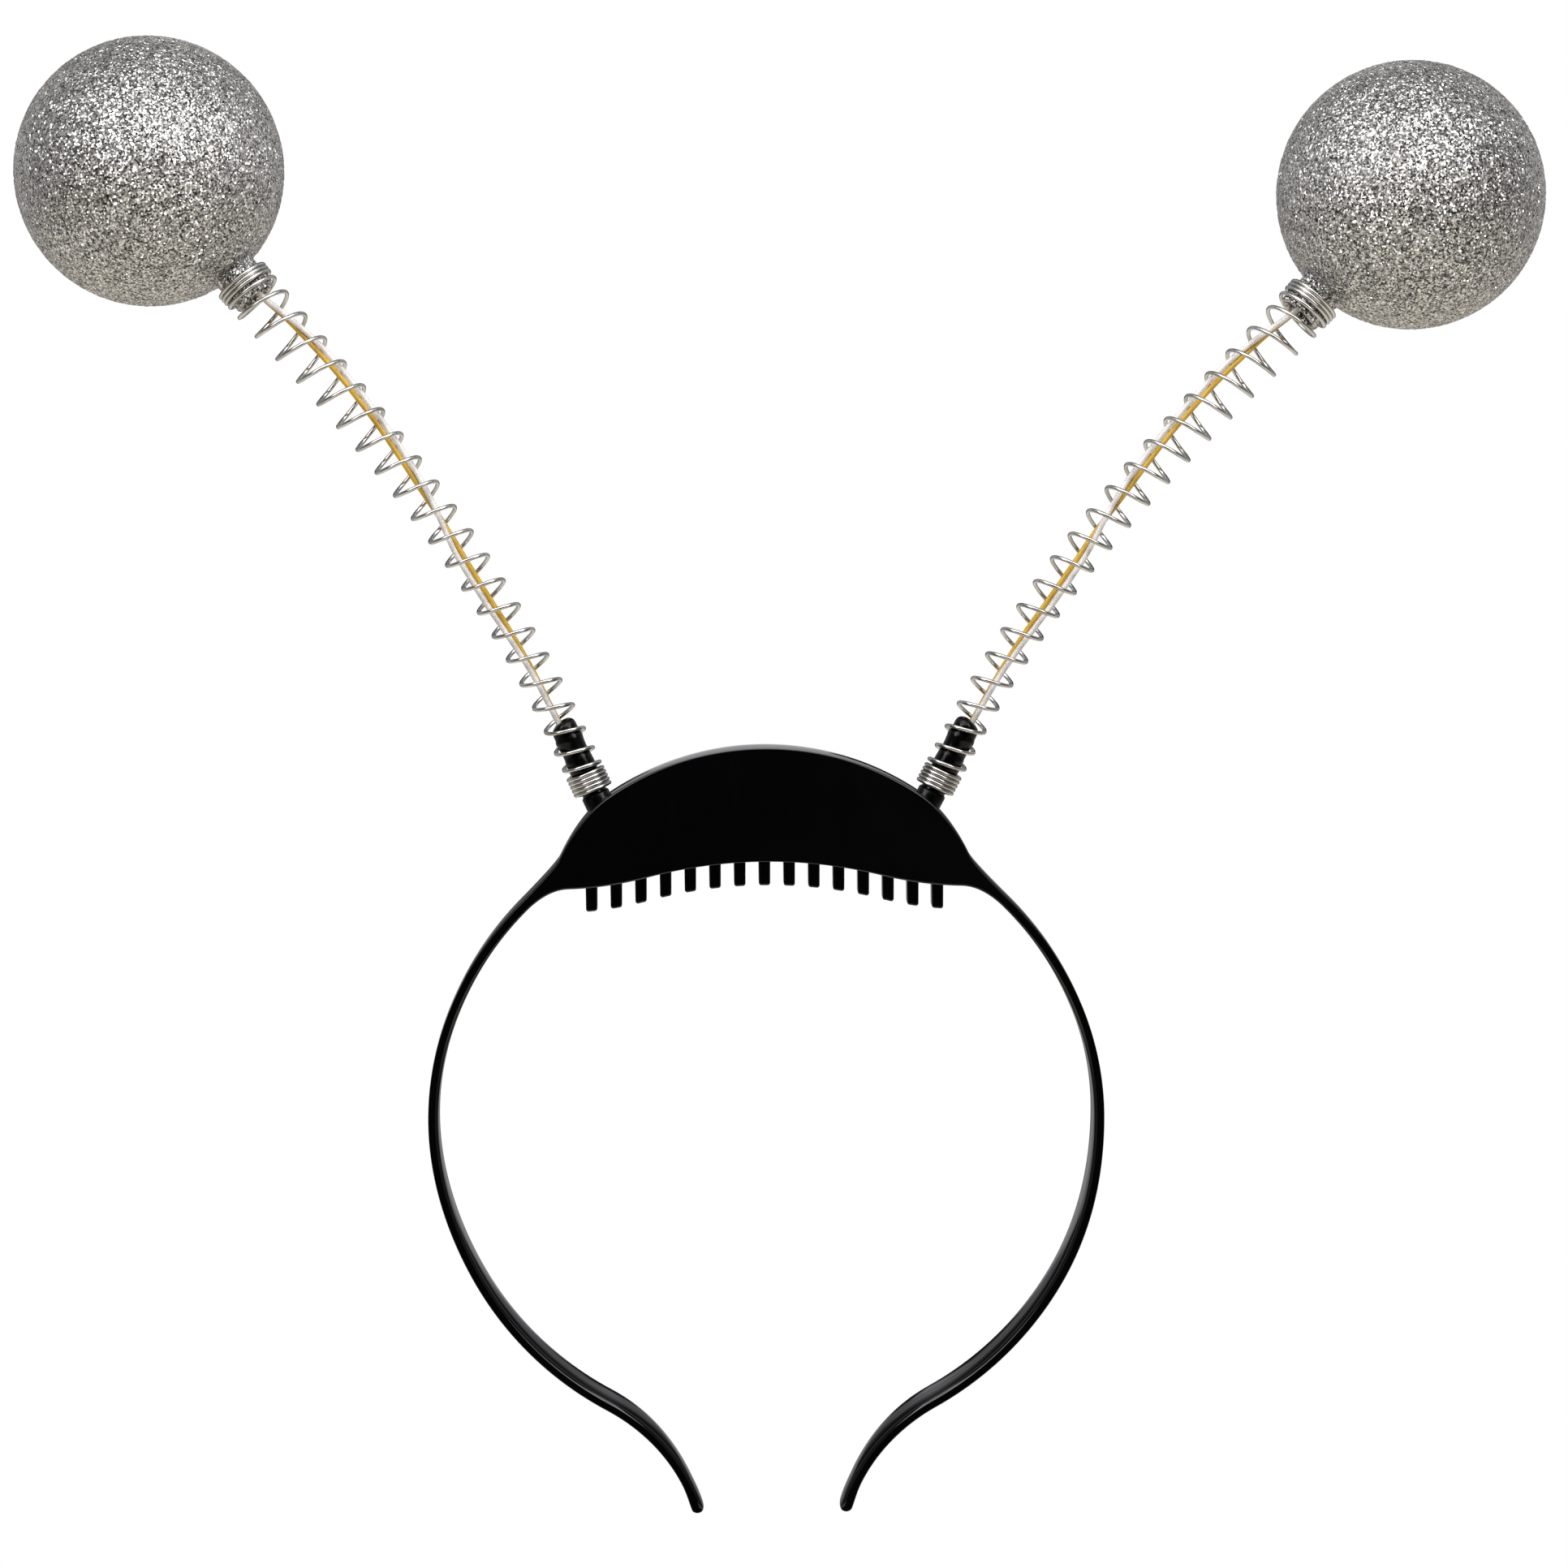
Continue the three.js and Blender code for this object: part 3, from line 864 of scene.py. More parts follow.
def rounded_loops(
    depth: float,
    steps: int,
    bevel: float = 0.0,
    front_inset: float = 0.0,
    back_inset: float = 0.0,
    back_share: float = 1.0,
) -> list[Loop]:
    """Lists the loops of a plate with rounded edges on both faces.

    Args:
        depth: Depth of the plate.
        steps: Steps of each rounded edge.
        bevel: How much longer the steps half-way round an edge are.
        front_inset: Inset of the front edge.
        back_inset: Inset of the back edge.
        back_share: Radius of the back edge as a share of the front edge's.

    Returns:
        The loops from front to back.
    """
    turns = edge_turns(steps, bevel)
    front = [Loop(-depth / 2, front_inset, behind, inside) for behind, inside in turns]
    back = [
        Loop(depth / 2, back_inset, -behind * back_share, inside * back_share)
        for behind, inside in reversed(turns)
    ]
    return front + back


def tube(points: Points, across: Points, radius: float, sides: int, dome: float) -> tuple[Points, list[Face]]:
    """Draws a round wire along a path.

    Args:
        points: Path's points.
        across: For each point, a direction that isn't along the path.
        radius: Wire's radius.
        sides: Number of sides.
        dome: Height of the rounded ends as a share of the radius.

    Returns:
        Points and faces of the closed mesh.
    """
    along = unit(np.gradient(points, axis=0))
    first = unit(across - (across * along).sum(axis=1, keepdims=True) * along)
    second = np.cross(along, first)
    last = len(points) - 1
    rows = [(0, past, share) for past, share in END_RINGS]
    rows += [(i, 0.0, 1.0) for i in range(len(points))]
    rows += [(last, -past, share) for past, share in reversed(END_RINGS)]
    index, past, share = (np.array(column) for column in zip(*rows))
    centres = points[index] - along[index] * past[:, None] * radius * dome
    turns = full_turn(sides)[None, :, None]
    spread = first[index][:, None, :] * np.cos(turns) + second[index][:, None, :] * np.sin(turns)
    rings = centres[:, None, :] + spread * radius * share[:, None, None]
    reach = radius * dome
    return capped(rings, [points[0] - along[0] * reach, points[-1] + along[-1] * reach])


# Sub-assemblies

@dataclass
class Headband:
    """The black moulding: a springy ring with flared tips and a crescent housing over the crown."""

    depth: float = 14.0
    thickness: float = 2.1
    crown_round: float = 0.14
    shoulder_round: float = 0.32
    shoulder_round_x: Range = (12.0, 28.0)
    arm_round: float = 0.72
    arm_round_z: Range = (-4.0, -24.0)
    outer_round: float = 0.16
    inner_edge: Range = (-0.2, 0.5)
    back_round_share: float = 0.12
    edge_steps: int = 9
    bevel: float = 5.0
    barrel: float = 0.2
    ridge_depth: float = -2.0
    ridge_step: float = 0.03
    ridge_width: float = 0.05
    loops_before_ridge: int = 4
    loops_after_ridge: int = 6
    ring_z: float = -44.1
    upper_x: float = 8.5
    upper_radius: float = 55.5
    upper_top_angle: float = 22.0
    upper_steps: int = 16
    lower_x: float = 0.6
    lower_radius: float = 63.4
    lower_foot_angle: float = -61.0
    lower_steps: int = 44
    tip_radius: float = 34.2
    tip_end_angle: float = 163.0
    tip_swell: float = 0.17
    tip_swell_angle: float = 9.0
    tip_steps: int = 30
    tip_end_steps: int = 14
    narrow_z: Range = (-99.0, -118.0)
    narrow_share: float = 0.66
    end_z: Range = (-117.5, -120.3)
    end_share: float = 0.68
    sway: float = 0.5
    sway_z: Range = (-44.1, -75.0)
    arm_top: Pair = (45.7, -3.5)
    arm_angle: float = -45.0
    crown_top_z: float = 26.4
    crown_radius: float = 53.0
    crown_end_x: float = 29.0
    crown_steps: int = 24
    shoulder: Pair = (38.6, 6.0)
    shoulder_bend: Pair = (34.75, 14.0)
    shoulder_steps: int = 12
    bend_steps: int = 16
    below_middle_z: float = 4.8
    below_radius: float = 88.0
    below_arch_x: float = 22.0
    below_ease: float = 16.5
    below_end_x: float = 37.0
    below_steps: int = 30
    wall: float = 1.7
    inner_x: float = 34.2
    inner_steps: int = 30
    mouth_overrun: float = 4.0
    crease: float = 32.0

    def below_slope(self, x: float) -> float:
        """Works out the slope of the housing's lower edge, an arch that eases off beside its ends.

        Args:
            x: Place to the right.

        Returns:
            The slope.
        """
        on_arch = min(max(x, -self.below_arch_x), self.below_arch_x)
        past = min(abs(x - on_arch), self.below_ease)
        return -on_arch / math.sqrt(self.below_radius**2 - on_arch**2) * (1 - past / self.below_ease)

    def below_z(self, x: float) -> float:
        """Works out the height of the housing's lower edge.

        Args:
            x: Place to the right.

        Returns:
            The height.
        """
        on_arch = min(abs(x), self.below_arch_x)
        past = min(abs(x) - on_arch, self.below_ease)
        arch_z = self.below_middle_z - self.below_radius + math.sqrt(self.below_radius**2 - on_arch**2)
        return arch_z + self.below_slope(on_arch) * past * (1 - past / (2 * self.below_ease))

    def below_edge(self, half_length: float, raised: float, steps: int) -> Points:
        """Points of an edge that follows the housing's lower edge from left to right."""
        right = np.array([(x, self.below_z(x) + raised) for x in np.linspace(0.0, half_length, steps + 1)])
        return np.concatenate([mirrored(right), right[1:]])

    def crown(self, inset: float, end_x: float, steps: int) -> Points:
        """Draws the crown's arc from its top to the right.

        Args:
            inset: Distance inside the crown's surface.
            end_x: Place to the right where it ends.
            steps: Number of steps.

        Returns:
            Rows of x and z.
        """
        radius = self.crown_radius - inset
        end_angle = math.degrees(math.acos(end_x / radius))
        return arc(0.0, self.crown_top_z - self.crown_radius, radius, 90.0, end_angle, steps)

    def arm(self, inset: float) -> Points:
        """Draws one edge of the right arm, from beside the housing down to the tip.

        Args:
            inset: Distance inside the arm's outer edge.

        Returns:
            Rows of x and z.
        """
        top = np.array(self.arm_top) + (self.thickness / 2 - inset) * direction(self.arm_angle + 90.0)
        upper_radius, lower_radius = self.upper_radius - inset, self.lower_radius - inset
        upper = arc(self.upper_x, self.ring_z, upper_radius, self.upper_top_angle, 0.0, self.upper_steps)
        corner = meeting(top, self.arm_angle, upper[0], self.upper_top_angle - 90.0)
        lower = arc(self.lower_x, self.ring_z, lower_radius, 0.0, self.lower_foot_angle, self.lower_steps)
        start = curve([top, corner, upper[0]], self.bend_steps)
        return np.concatenate([start, upper[1:], lower[1:], self.tip(inset)[1:]])

    def tip(self, inset: float) -> Points:
        """Draws one edge of the right tip, which swells a little at its end.

        Args:
            inset: Distance inside the arm's outer edge.

        Returns:
            Rows of x and z.
        """
        reach = self.lower_radius + self.tip_radius
        centre = np.array([self.lower_x, self.ring_z]) + reach * direction(self.lower_foot_angle)
        start, stop = 180.0 + self.lower_foot_angle, self.tip_end_angle
        edge = arc(*centre, self.tip_radius + inset, start, stop, self.tip_steps)
        angles = np.linspace(start, stop, self.tip_steps + 1)
        swell = self.tip_swell * smoothstep(stop - self.tip_swell_angle, stop, angles)
        return edge + unit(edge - centre) * (swell * (1 if inset > 0 else -1))[:, None]

    def depth_share(self, z: Points) -> Points:
        """Share of the depth that is left at a height, less towards the tips and least at their ends."""
        narrow = 1 - (1 - self.narrow_share) * smoothstep(*self.narrow_z, z)
        return narrow * (1 - (1 - self.end_share) * ramp(*self.end_z, z) ** 2)

    def swayed(self, points: Points) -> Points:
        """Points moved a little to the right below the ring's middle."""
        share = smoothstep(*self.sway_z, points[:, 1])
        return points + np.stack([self.sway * share, np.zeros(len(points))], axis=1)

    def outline(self) -> Points:
        """Draws the moulding's outline.

        Returns:
            Rows of x and z, going round once.
        """
        crown = self.crown(0.0, self.crown_end_x, self.crown_steps)
        outer, inner = self.arm(0.0), self.arm(self.thickness)
        shoulder, crown_bend = np.array(self.shoulder), np.array(self.shoulder_bend)
        waist = meeting(shoulder, angle_of(shoulder - crown_bend), outer[0], self.arm_angle)
        below = self.below_edge(self.below_end_x, 0.0, self.below_steps)
        below_angle = math.degrees(math.atan(self.below_slope(self.below_end_x)))
        hollow = meeting(below[-1], below_angle, inner[0], self.arm_angle)
        end = (outer[-1] + inner[-1]) / 2
        end_radius = float(np.linalg.norm(outer[-1] - inner[-1])) / 2
        end_angle = angle_of(outer[-1] - end)
        right = np.concatenate(
            [
                crown,
                curve([crown[-1], crown_bend, shoulder], self.shoulder_steps)[1:],
                curve([shoulder, waist, outer[0]], self.bend_steps)[1:],
                outer[1:],
                arc(*end, end_radius, end_angle, end_angle - 180.0, self.tip_end_steps)[1:-1],
                inner[:0:-1],
                curve([below[-1], hollow, inner[0]], self.bend_steps)[:0:-1],
            ]
        )
        return self.swayed(np.concatenate([right, below[::-1], mirrored(right)[:-1]]))

    def edge_radius(self, outline: Points, inward: Points) -> Points:
        """Works out the rounding, largest on the arms' inner edges and least on the crown and outside.

        Args:
            outline: The moulding's outline.
            inward: Directions from its points into the moulding.

        Returns:
            Radius of the rounded edge at each point.
        """
        away = unit(outline - np.array([0.0, self.ring_z]))
        inner = smoothstep(*self.inner_edge, (unit(inward) * away).sum(axis=1))
        arm = self.outer_round + (self.arm_round - self.outer_round) * inner
        aside = smoothstep(*self.shoulder_round_x, np.abs(outline[:, 0]))
        housing = self.crown_round + (self.shoulder_round - self.crown_round) * aside
        return housing + (arm - housing) * smoothstep(*self.arm_round_z, outline[:, 1])

    def side_inset(self, y: float) -> float:
        """Inset of the sides at a depth: they are barrelled, with a parting step at their crest."""
        step = self.ridge_step if y > self.ridge_depth else 0.0
        return self.barrel * (2 * (y - self.ridge_depth) / self.depth) ** 2 + step

    def loops(self) -> list[Loop]:
        """Lists the loops of the moulding's sides.

        Returns:
            The loops, from the front face to the back face.
        """
        half, clear = self.depth / 2, self.depth / 2 - self.arm_round
        gap = self.ridge_width / 2
        places = [*np.linspace(-clear, self.ridge_depth - gap, self.loops_before_ridge + 1)[1:]]
        places += [*np.linspace(self.ridge_depth + gap, clear, self.loops_after_ridge + 1)[:-1]]
        insets = (self.side_inset(-half), self.side_inset(half))
        edges = rounded_loops(self.depth, self.edge_steps, self.bevel, *insets, self.back_round_share)
        middle = [Loop(place, self.side_inset(place)) for place in places]
        return edges[: self.edge_steps + 1] + middle + edges[self.edge_steps + 1 :]

    def cavity(self) -> bpy.types.Object:
        """Makes the cutter for the housing's hollow, which is open below.

        Returns:
            The cutter.
        """
        ceiling = self.crown(self.wall, self.inner_x, self.inner_steps)
        mouth = np.array([[self.inner_x, self.below_z(self.inner_x) - self.mouth_overrun]])
        right = np.concatenate([ceiling, mouth])
        outline = np.concatenate([right, mirrored(right)[:-1]])
        half = self.depth / 2 - self.wall
        return slab("cavity", outline, [Loop(-half), Loop(half)], self.crease)

    def build(self, posts: Iterable[Post]) -> bpy.types.Object:
        """Makes the moulding with its hollow and the holes that the posts stand in.

        Args:
            posts: The posts.

        Returns:
            The moulding.
        """
        outline, loops = self.outline(), self.loops()
        piece = slab("headband_moulding", outline, loops, self.crease, self.edge_radius, self.depth_share)
        combine(piece, [self.cavity(), *(post.hole() for post in posts)], "DIFFERENCE")
        even_normals(piece, self.crease)
        return piece


@dataclass
class Comb:
    """The strip that closes the housing from below, with its teeth."""

    band: Headband
    tooth_count: int = 15
    pitch: float = 4.67
    width: float = 2.15
    length: float = 4.8
    tooth_depth: float = 6.0
    tooth_round: float = 0.35
    tooth_round_steps: int = 4
    tooth_corner: float = 0.5
    tooth_corner_steps: int = 6
    root_flare: float = 0.05
    strip_thickness: float = 1.8
    strip_raise: float = 0.6
    strip_half_length: float = 33.85
    strip_steps: int = 24
    strip_gap: float = 0.3
    strip_round: float = 0.15
    strip_round_steps: int = 2
    crease: float = 35.0

    def tooth(self, number: int) -> bpy.types.Object:
        """Makes one tooth, whose end slants with the arched edge.

        Args:
            number: The tooth's number, counted from the left.

        Returns:
            The tooth.
        """
        x = (number - (self.tooth_count - 1) / 2) * self.pitch
        half, corner = self.width / 2, self.tooth_corner
        edge, slope = self.band.below_z(x), self.band.below_slope(x)
        reach = half - corner
        low = edge - self.length + corner
        right = arc(x + reach, low + slope * reach, corner, 0.0, -90.0, self.tooth_corner_steps)
        left = arc(x - reach, low - slope * reach, corner, -90.0, -180.0, self.tooth_corner_steps)
        root = edge + self.strip_raise + self.strip_thickness / 2
        root_half = half + self.root_flare
        outline = np.concatenate([right, left, [[x - root_half, root], [x + root_half, root]]])
        loops = rounded_loops(self.tooth_depth, self.tooth_round_steps)
        return slab(f"tooth_{number}", outline, loops, self.crease, self.tooth_round)

    def build(self) -> bpy.types.Object:
        """Makes the strip and joins the teeth to it.

        Returns:
            The comb.
        """
        raised = (self.strip_raise, self.strip_raise + self.strip_thickness)
        lower, upper = (self.band.below_edge(self.strip_half_length, z, self.strip_steps) for z in raised)
        outline = np.concatenate([lower, upper[::-1]])
        depth = self.band.depth - 2 * self.band.wall - 2 * self.strip_gap
        loops = rounded_loops(depth, self.strip_round_steps)
        piece = slab("comb_strip", outline, loops, self.crease, self.strip_round)
        combine(piece, [self.tooth(number) for number in range(self.tooth_count)], "UNION")
        even_normals(piece, self.crease)
        return piece


@dataclass
class Antenna:
    """One antenna's line: straight up the post, a bend, then straight into the ball."""

    side: Side
    post_lean: float
    ball_x: float
    ball_z: float
    neck_lean: float
    ball_y: float = 11.0
    neck_back_lean: float = 8.0
    foot_x: float = 31.2
    foot_z: float = 15.9
    post_top: float = 16.1
    ball_radius: float = 25.4
    neck_reach: float = 6.2
    post_handle: float = 0.41
    neck_handle: float = 0.18
    samples: int = 1200
    straight_every: int = 10

    def __post_init__(self) -> None:
        """Works out the line's points and their distances along it."""
        lean = math.radians(self.post_lean)
        sign = self.side.sign
        self.foot = np.array([sign * self.foot_x, 0.0, self.foot_z])
        self.up = np.array([sign * math.sin(lean), 0.0, math.cos(lean)])
        neck, back = math.radians(self.neck_lean), math.radians(self.neck_back_lean)
        flat = math.cos(back)
        self.inward = np.array([sign * math.sin(neck) * flat, math.sin(back), math.cos(neck) * flat])
        self.centre = np.array([sign * self.ball_x, self.ball_y, self.ball_z])
        self.top = self.foot + self.up * self.post_top
        self.neck_end = self.centre - self.inward * (self.ball_radius + self.neck_reach)
        self.line = self._line()
        self.distance = lengths_along(self.line)
        self.length = float(self.distance[-1])

    def _line(self) -> Points:
        """Draws the whole line, with fewer points on the straight stretches.

        Returns:
            The line's points.
        """
        reach = np.linalg.norm(self.neck_end - self.top)
        above_post = self.top + self.up * reach * self.post_handle
        below_neck = self.neck_end - self.inward * reach * self.neck_handle
        bent = curve([self.top, above_post, below_neck, self.neck_end], self.samples - 1)
        share = np.linspace(0.0, 1.0, self.samples)[:: self.straight_every, None]
        post = self.foot + (self.top - self.foot) * share
        neck = self.neck_end + (self.centre - self.neck_end) * share
        return np.concatenate([post, bent[1:], neck[1:]])

    def frames(self, along: Points) -> tuple[Points, Points, Points]:
        """Finds points on the line, with the directions across it.

        Args:
            along: Distances from the post's foot.

        Returns:
            Points, directions towards the mid-line and directions towards the front.
        """
        points = read_between(along, self.distance, self.line)
        tangent = read_between(along, self.distance, unit(np.gradient(self.line, axis=0)))
        inner = unit(np.cross(np.array([0.0, 1.0, 0.0]), tangent)) * -self.side.sign
        front = unit(np.cross(tangent, inner)) * self.side.sign
        return points, inner, front

    def across_foot(self) -> tuple[Points, Points]:
        """Directions across the post, towards the mid-line and towards the front."""
        _, inner, front = self.frames(np.zeros(1))
        return inner[0], front[0]

    def blend(self, piece: bpy.types.Object) -> None:
        """Bakes a piece's place into its mesh."""
        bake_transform(piece)


@dataclass
class Post:
    """A barbed black post with a lumpy domed top that the leads come out of.

    Each row of the profile has a height above the foot and the radius there.
    """

    antenna: Antenna
    sides: int = 40
    profile: tuple[Pair, ...] = (
        (-5.0, 0.0),
        (-5.0, 2.2),
        (-4.7, 2.4),
        (-3.4, 2.72),
        (1.45, 2.72),
        (1.68, 2.6),
        (1.8, 2.4),
        (2.1, 2.36),
        (5.4, 2.36),
        (5.8, 2.42),
        (6.3, 2.62),
        (6.8, 2.68),
        (8.8, 2.62),
        (9.4, 2.58),
        (9.6, 2.5),
        (10.2, 2.48),
        (11.4, 2.52),
        (12.5, 2.62),
        (12.9, 2.72),
        (13.3, 2.7),
        (13.7, 2.58),
        (14.2, 2.5),
        (15.1, 2.5),
        (15.8, 2.38),
        (16.3, 2.06),
        (16.66, 1.5),
        (16.82, 0.8),
        (16.86, 0.0),
    )
    hole_gap: float = 0.05
    hole_reach: Range = (-5.5, 5.0)
    dome: Range = (13.4, 14.8)
    dome_slant: float = 0.16
    lump: float = 0.18
    lump_waves: int = 4
    lump_pitch: float = 1.1
    seed: int = 5
    crease: float = 38.0

    def turned(self, rows: Sequence[Pair]) -> tuple[Points, list[Face]]:
        """Turns a shape round the antenna's foot.

        Args:
            rows: Heights and radii, where the first and last lie on the line.

        Returns:
            Points and faces of the closed mesh.
        """
        inner, front = self.antenna.across_foot()
        turns = full_turn(self.sides)[:, None]
        around = np.cos(turns) * inner + np.sin(turns) * front
        places = [self.antenna.foot + self.antenna.up * height for height, _ in rows]
        rings = [place + around * radius for place, (_, radius) in zip(places, rows)]
        return capped(np.stack(rings[1:-1]), [places[0], places[-1]])

    def hole(self) -> bpy.types.Object:
        """Makes the cutter for the hole that the post stands in.

        Returns:
            The cutter.
        """
        radius = max(size for _, size in self.profile) + self.hole_gap
        low, high = self.hole_reach
        points, faces = self.turned([(low, 0.0), (low, radius), (high, radius), (high, 0.0)])
        return solid(f"post_hole_{self.antenna.side.value}", points, faces, self.crease)

    def build(self) -> bpy.types.Object:
        """Makes the post, with small lumps on its slanting dome.

        Returns:
            The post.
        """
        points, faces = self.turned(self.profile)
        above = points - self.antenna.foot
        generator = np.random.default_rng(self.seed)
        waves = generator.normal(size=(self.lump_waves, 3)) * self.lump_pitch
        phases = generator.uniform(0.0, 2 * math.pi, self.lump_waves)
        lumps = np.sin(points @ waves.T + phases).mean(axis=1) * self.lump
        slant = above @ self.antenna.across_foot()[0] * self.dome_slant
        share = smoothstep(*self.dome, above @ self.antenna.up)
        points = points + ((lumps + slant) * share)[:, None] * self.antenna.up
        return solid(f"barbed_post_{self.antenna.side.value}", points, faces, self.crease)


@dataclass
class Spring:
    """A conical wire spring, wound tight on the post and on the ball's neck.

    Opening and closing are the turns over which the coils part and draw together again.
    """

    antenna: Antenna
    wire_radius: float = 0.39
    sides: int = 12
    post_coil_radius: float = 3.42
    neck_coil_radius: float = 5.08
    start: float = 2.5
    stop_from_ball: float = 1.6
    turns: float = 29.5
    tight_pitch: float = 0.79
    opening: Range = (4.6, 8.0)
    opening_power: float = 0.5
    closing: Range = (24.0, 27.3)
    pitch_growth: float = 0.3
    steps_per_turn: int = 40
    end_dome: float = 0.35
    crease: float = 60.0

    def build(self) -> bpy.types.Object:
        """Makes the coil.

        Returns:
            The spring.
        """
        turn = np.linspace(0.0, self.turns, int(self.turns * self.steps_per_turn) + 1)
        openness = ramp(*self.opening, turn) ** self.opening_power * (1 - smoothstep(*self.closing, turn))
        openness = openness * (1 + self.pitch_growth * turn / self.turns)
        step = turn[1] - turn[0]
        opened = np.concatenate([[0.0], np.cumsum((openness[1:] + openness[:-1]) / 2 * step)])
        stop = self.antenna.length - self.antenna.ball_radius - self.stop_from_ball
        spare = stop - self.start - self.tight_pitch * self.turns
        along = self.start + self.tight_pitch * turn + spare * opened / opened[-1]
        share = (along - self.start) / (stop - self.start)
        radius = self.post_coil_radius + (self.neck_coil_radius - self.post_coil_radius) * share**2
        points, inner, front = self.antenna.frames(along)
        angle = (turn * 2 * math.pi)[:, None]
        outward = inner * np.cos(angle) + front * np.sin(angle)
        path = points + outward * radius[:, None]
        places, faces = tube(path, outward, self.wire_radius, self.sides, self.end_dome)
        return solid(f"coil_spring_{self.antenna.side.value}", places, faces, self.crease)


@dataclass
class Lead:
    """One insulated lead inside a spring, swinging round its neighbour on the way up.

    Each row of the route has the share of the way up, the angle of the white lead, counted from the
    side of the mid-line towards the front, and the shift of both leads towards the mid-line.
    """

    antenna: Antenna
    colour: LeadColour
    radius: float = 0.52
    sides: int = 16
    offset: float = 0.56
    into_post: float = 2.0
    into_ball: float = 4.0
    steps: int = 220
    smoothing: int = 10
    end_dome: float = 0.1
    crease: float = 60.0
    route: tuple[Triple, ...] = (
        (0.0, 90.0, 0.0),
        (0.09, 92.0, -0.35),
        (0.14, 95.0, -0.55),
        (0.2, 100.0, -0.5),
        (0.27, 130.0, -0.75),
        (0.34, 168.0, -1.05),
        (0.42, 160.0, -0.7),
        (0.48, 90.0, 0.35),
        (0.56, 12.0, 1.45),
        (0.65, 0.0, 2.35),
        (0.74, 0.0, 2.75),
        (0.8, 8.0, 2.65),
        (0.86, 66.0, 2.05),
        (0.92, 84.0, 0.75),
        (1.0, 90.0, 0.0),
    )

    def swing(self, share: Points) -> tuple[Points, Points]:
        """Reads the route, smoothed over some steps on either side.

        Args:
            share: Shares of the way up.

        Returns:
            Angles of the white lead and shifts, a row for each share.
        """
        rows = np.array(self.route)
        window = np.hanning(2 * self.smoothing + 1)
        window = window / window.sum()
        plain = read_between(share, rows[:, 0], rows[:, 1:])
        padded = np.pad(plain, ((self.smoothing, self.smoothing), (0, 0)), "edge")
        angle, shift = (np.convolve(column, window, "valid")[:, None] for column in padded.T)
        return angle, shift

    def build(self) -> bpy.types.Object:
        """Makes the lead.

        Returns:
            The lead.
        """
        stop = self.antenna.length - self.antenna.ball_radius + self.into_ball
        share = np.linspace(0.0, 1.0, self.steps + 1)
        angle, shift = self.swing(share)
        angle = np.radians(angle + self.colour.value)
        points, inner, front = self.antenna.frames(self.into_post + (stop - self.into_post) * share)
        points = points + inner * (shift + self.offset * np.cos(angle)) + front * self.offset * np.sin(angle)
        places, faces = tube(points, inner, self.radius, self.sides, self.end_dome)
        return solid(f"lead_{self.colour.word}_{self.antenna.side.value}_wire", places, faces, self.crease)


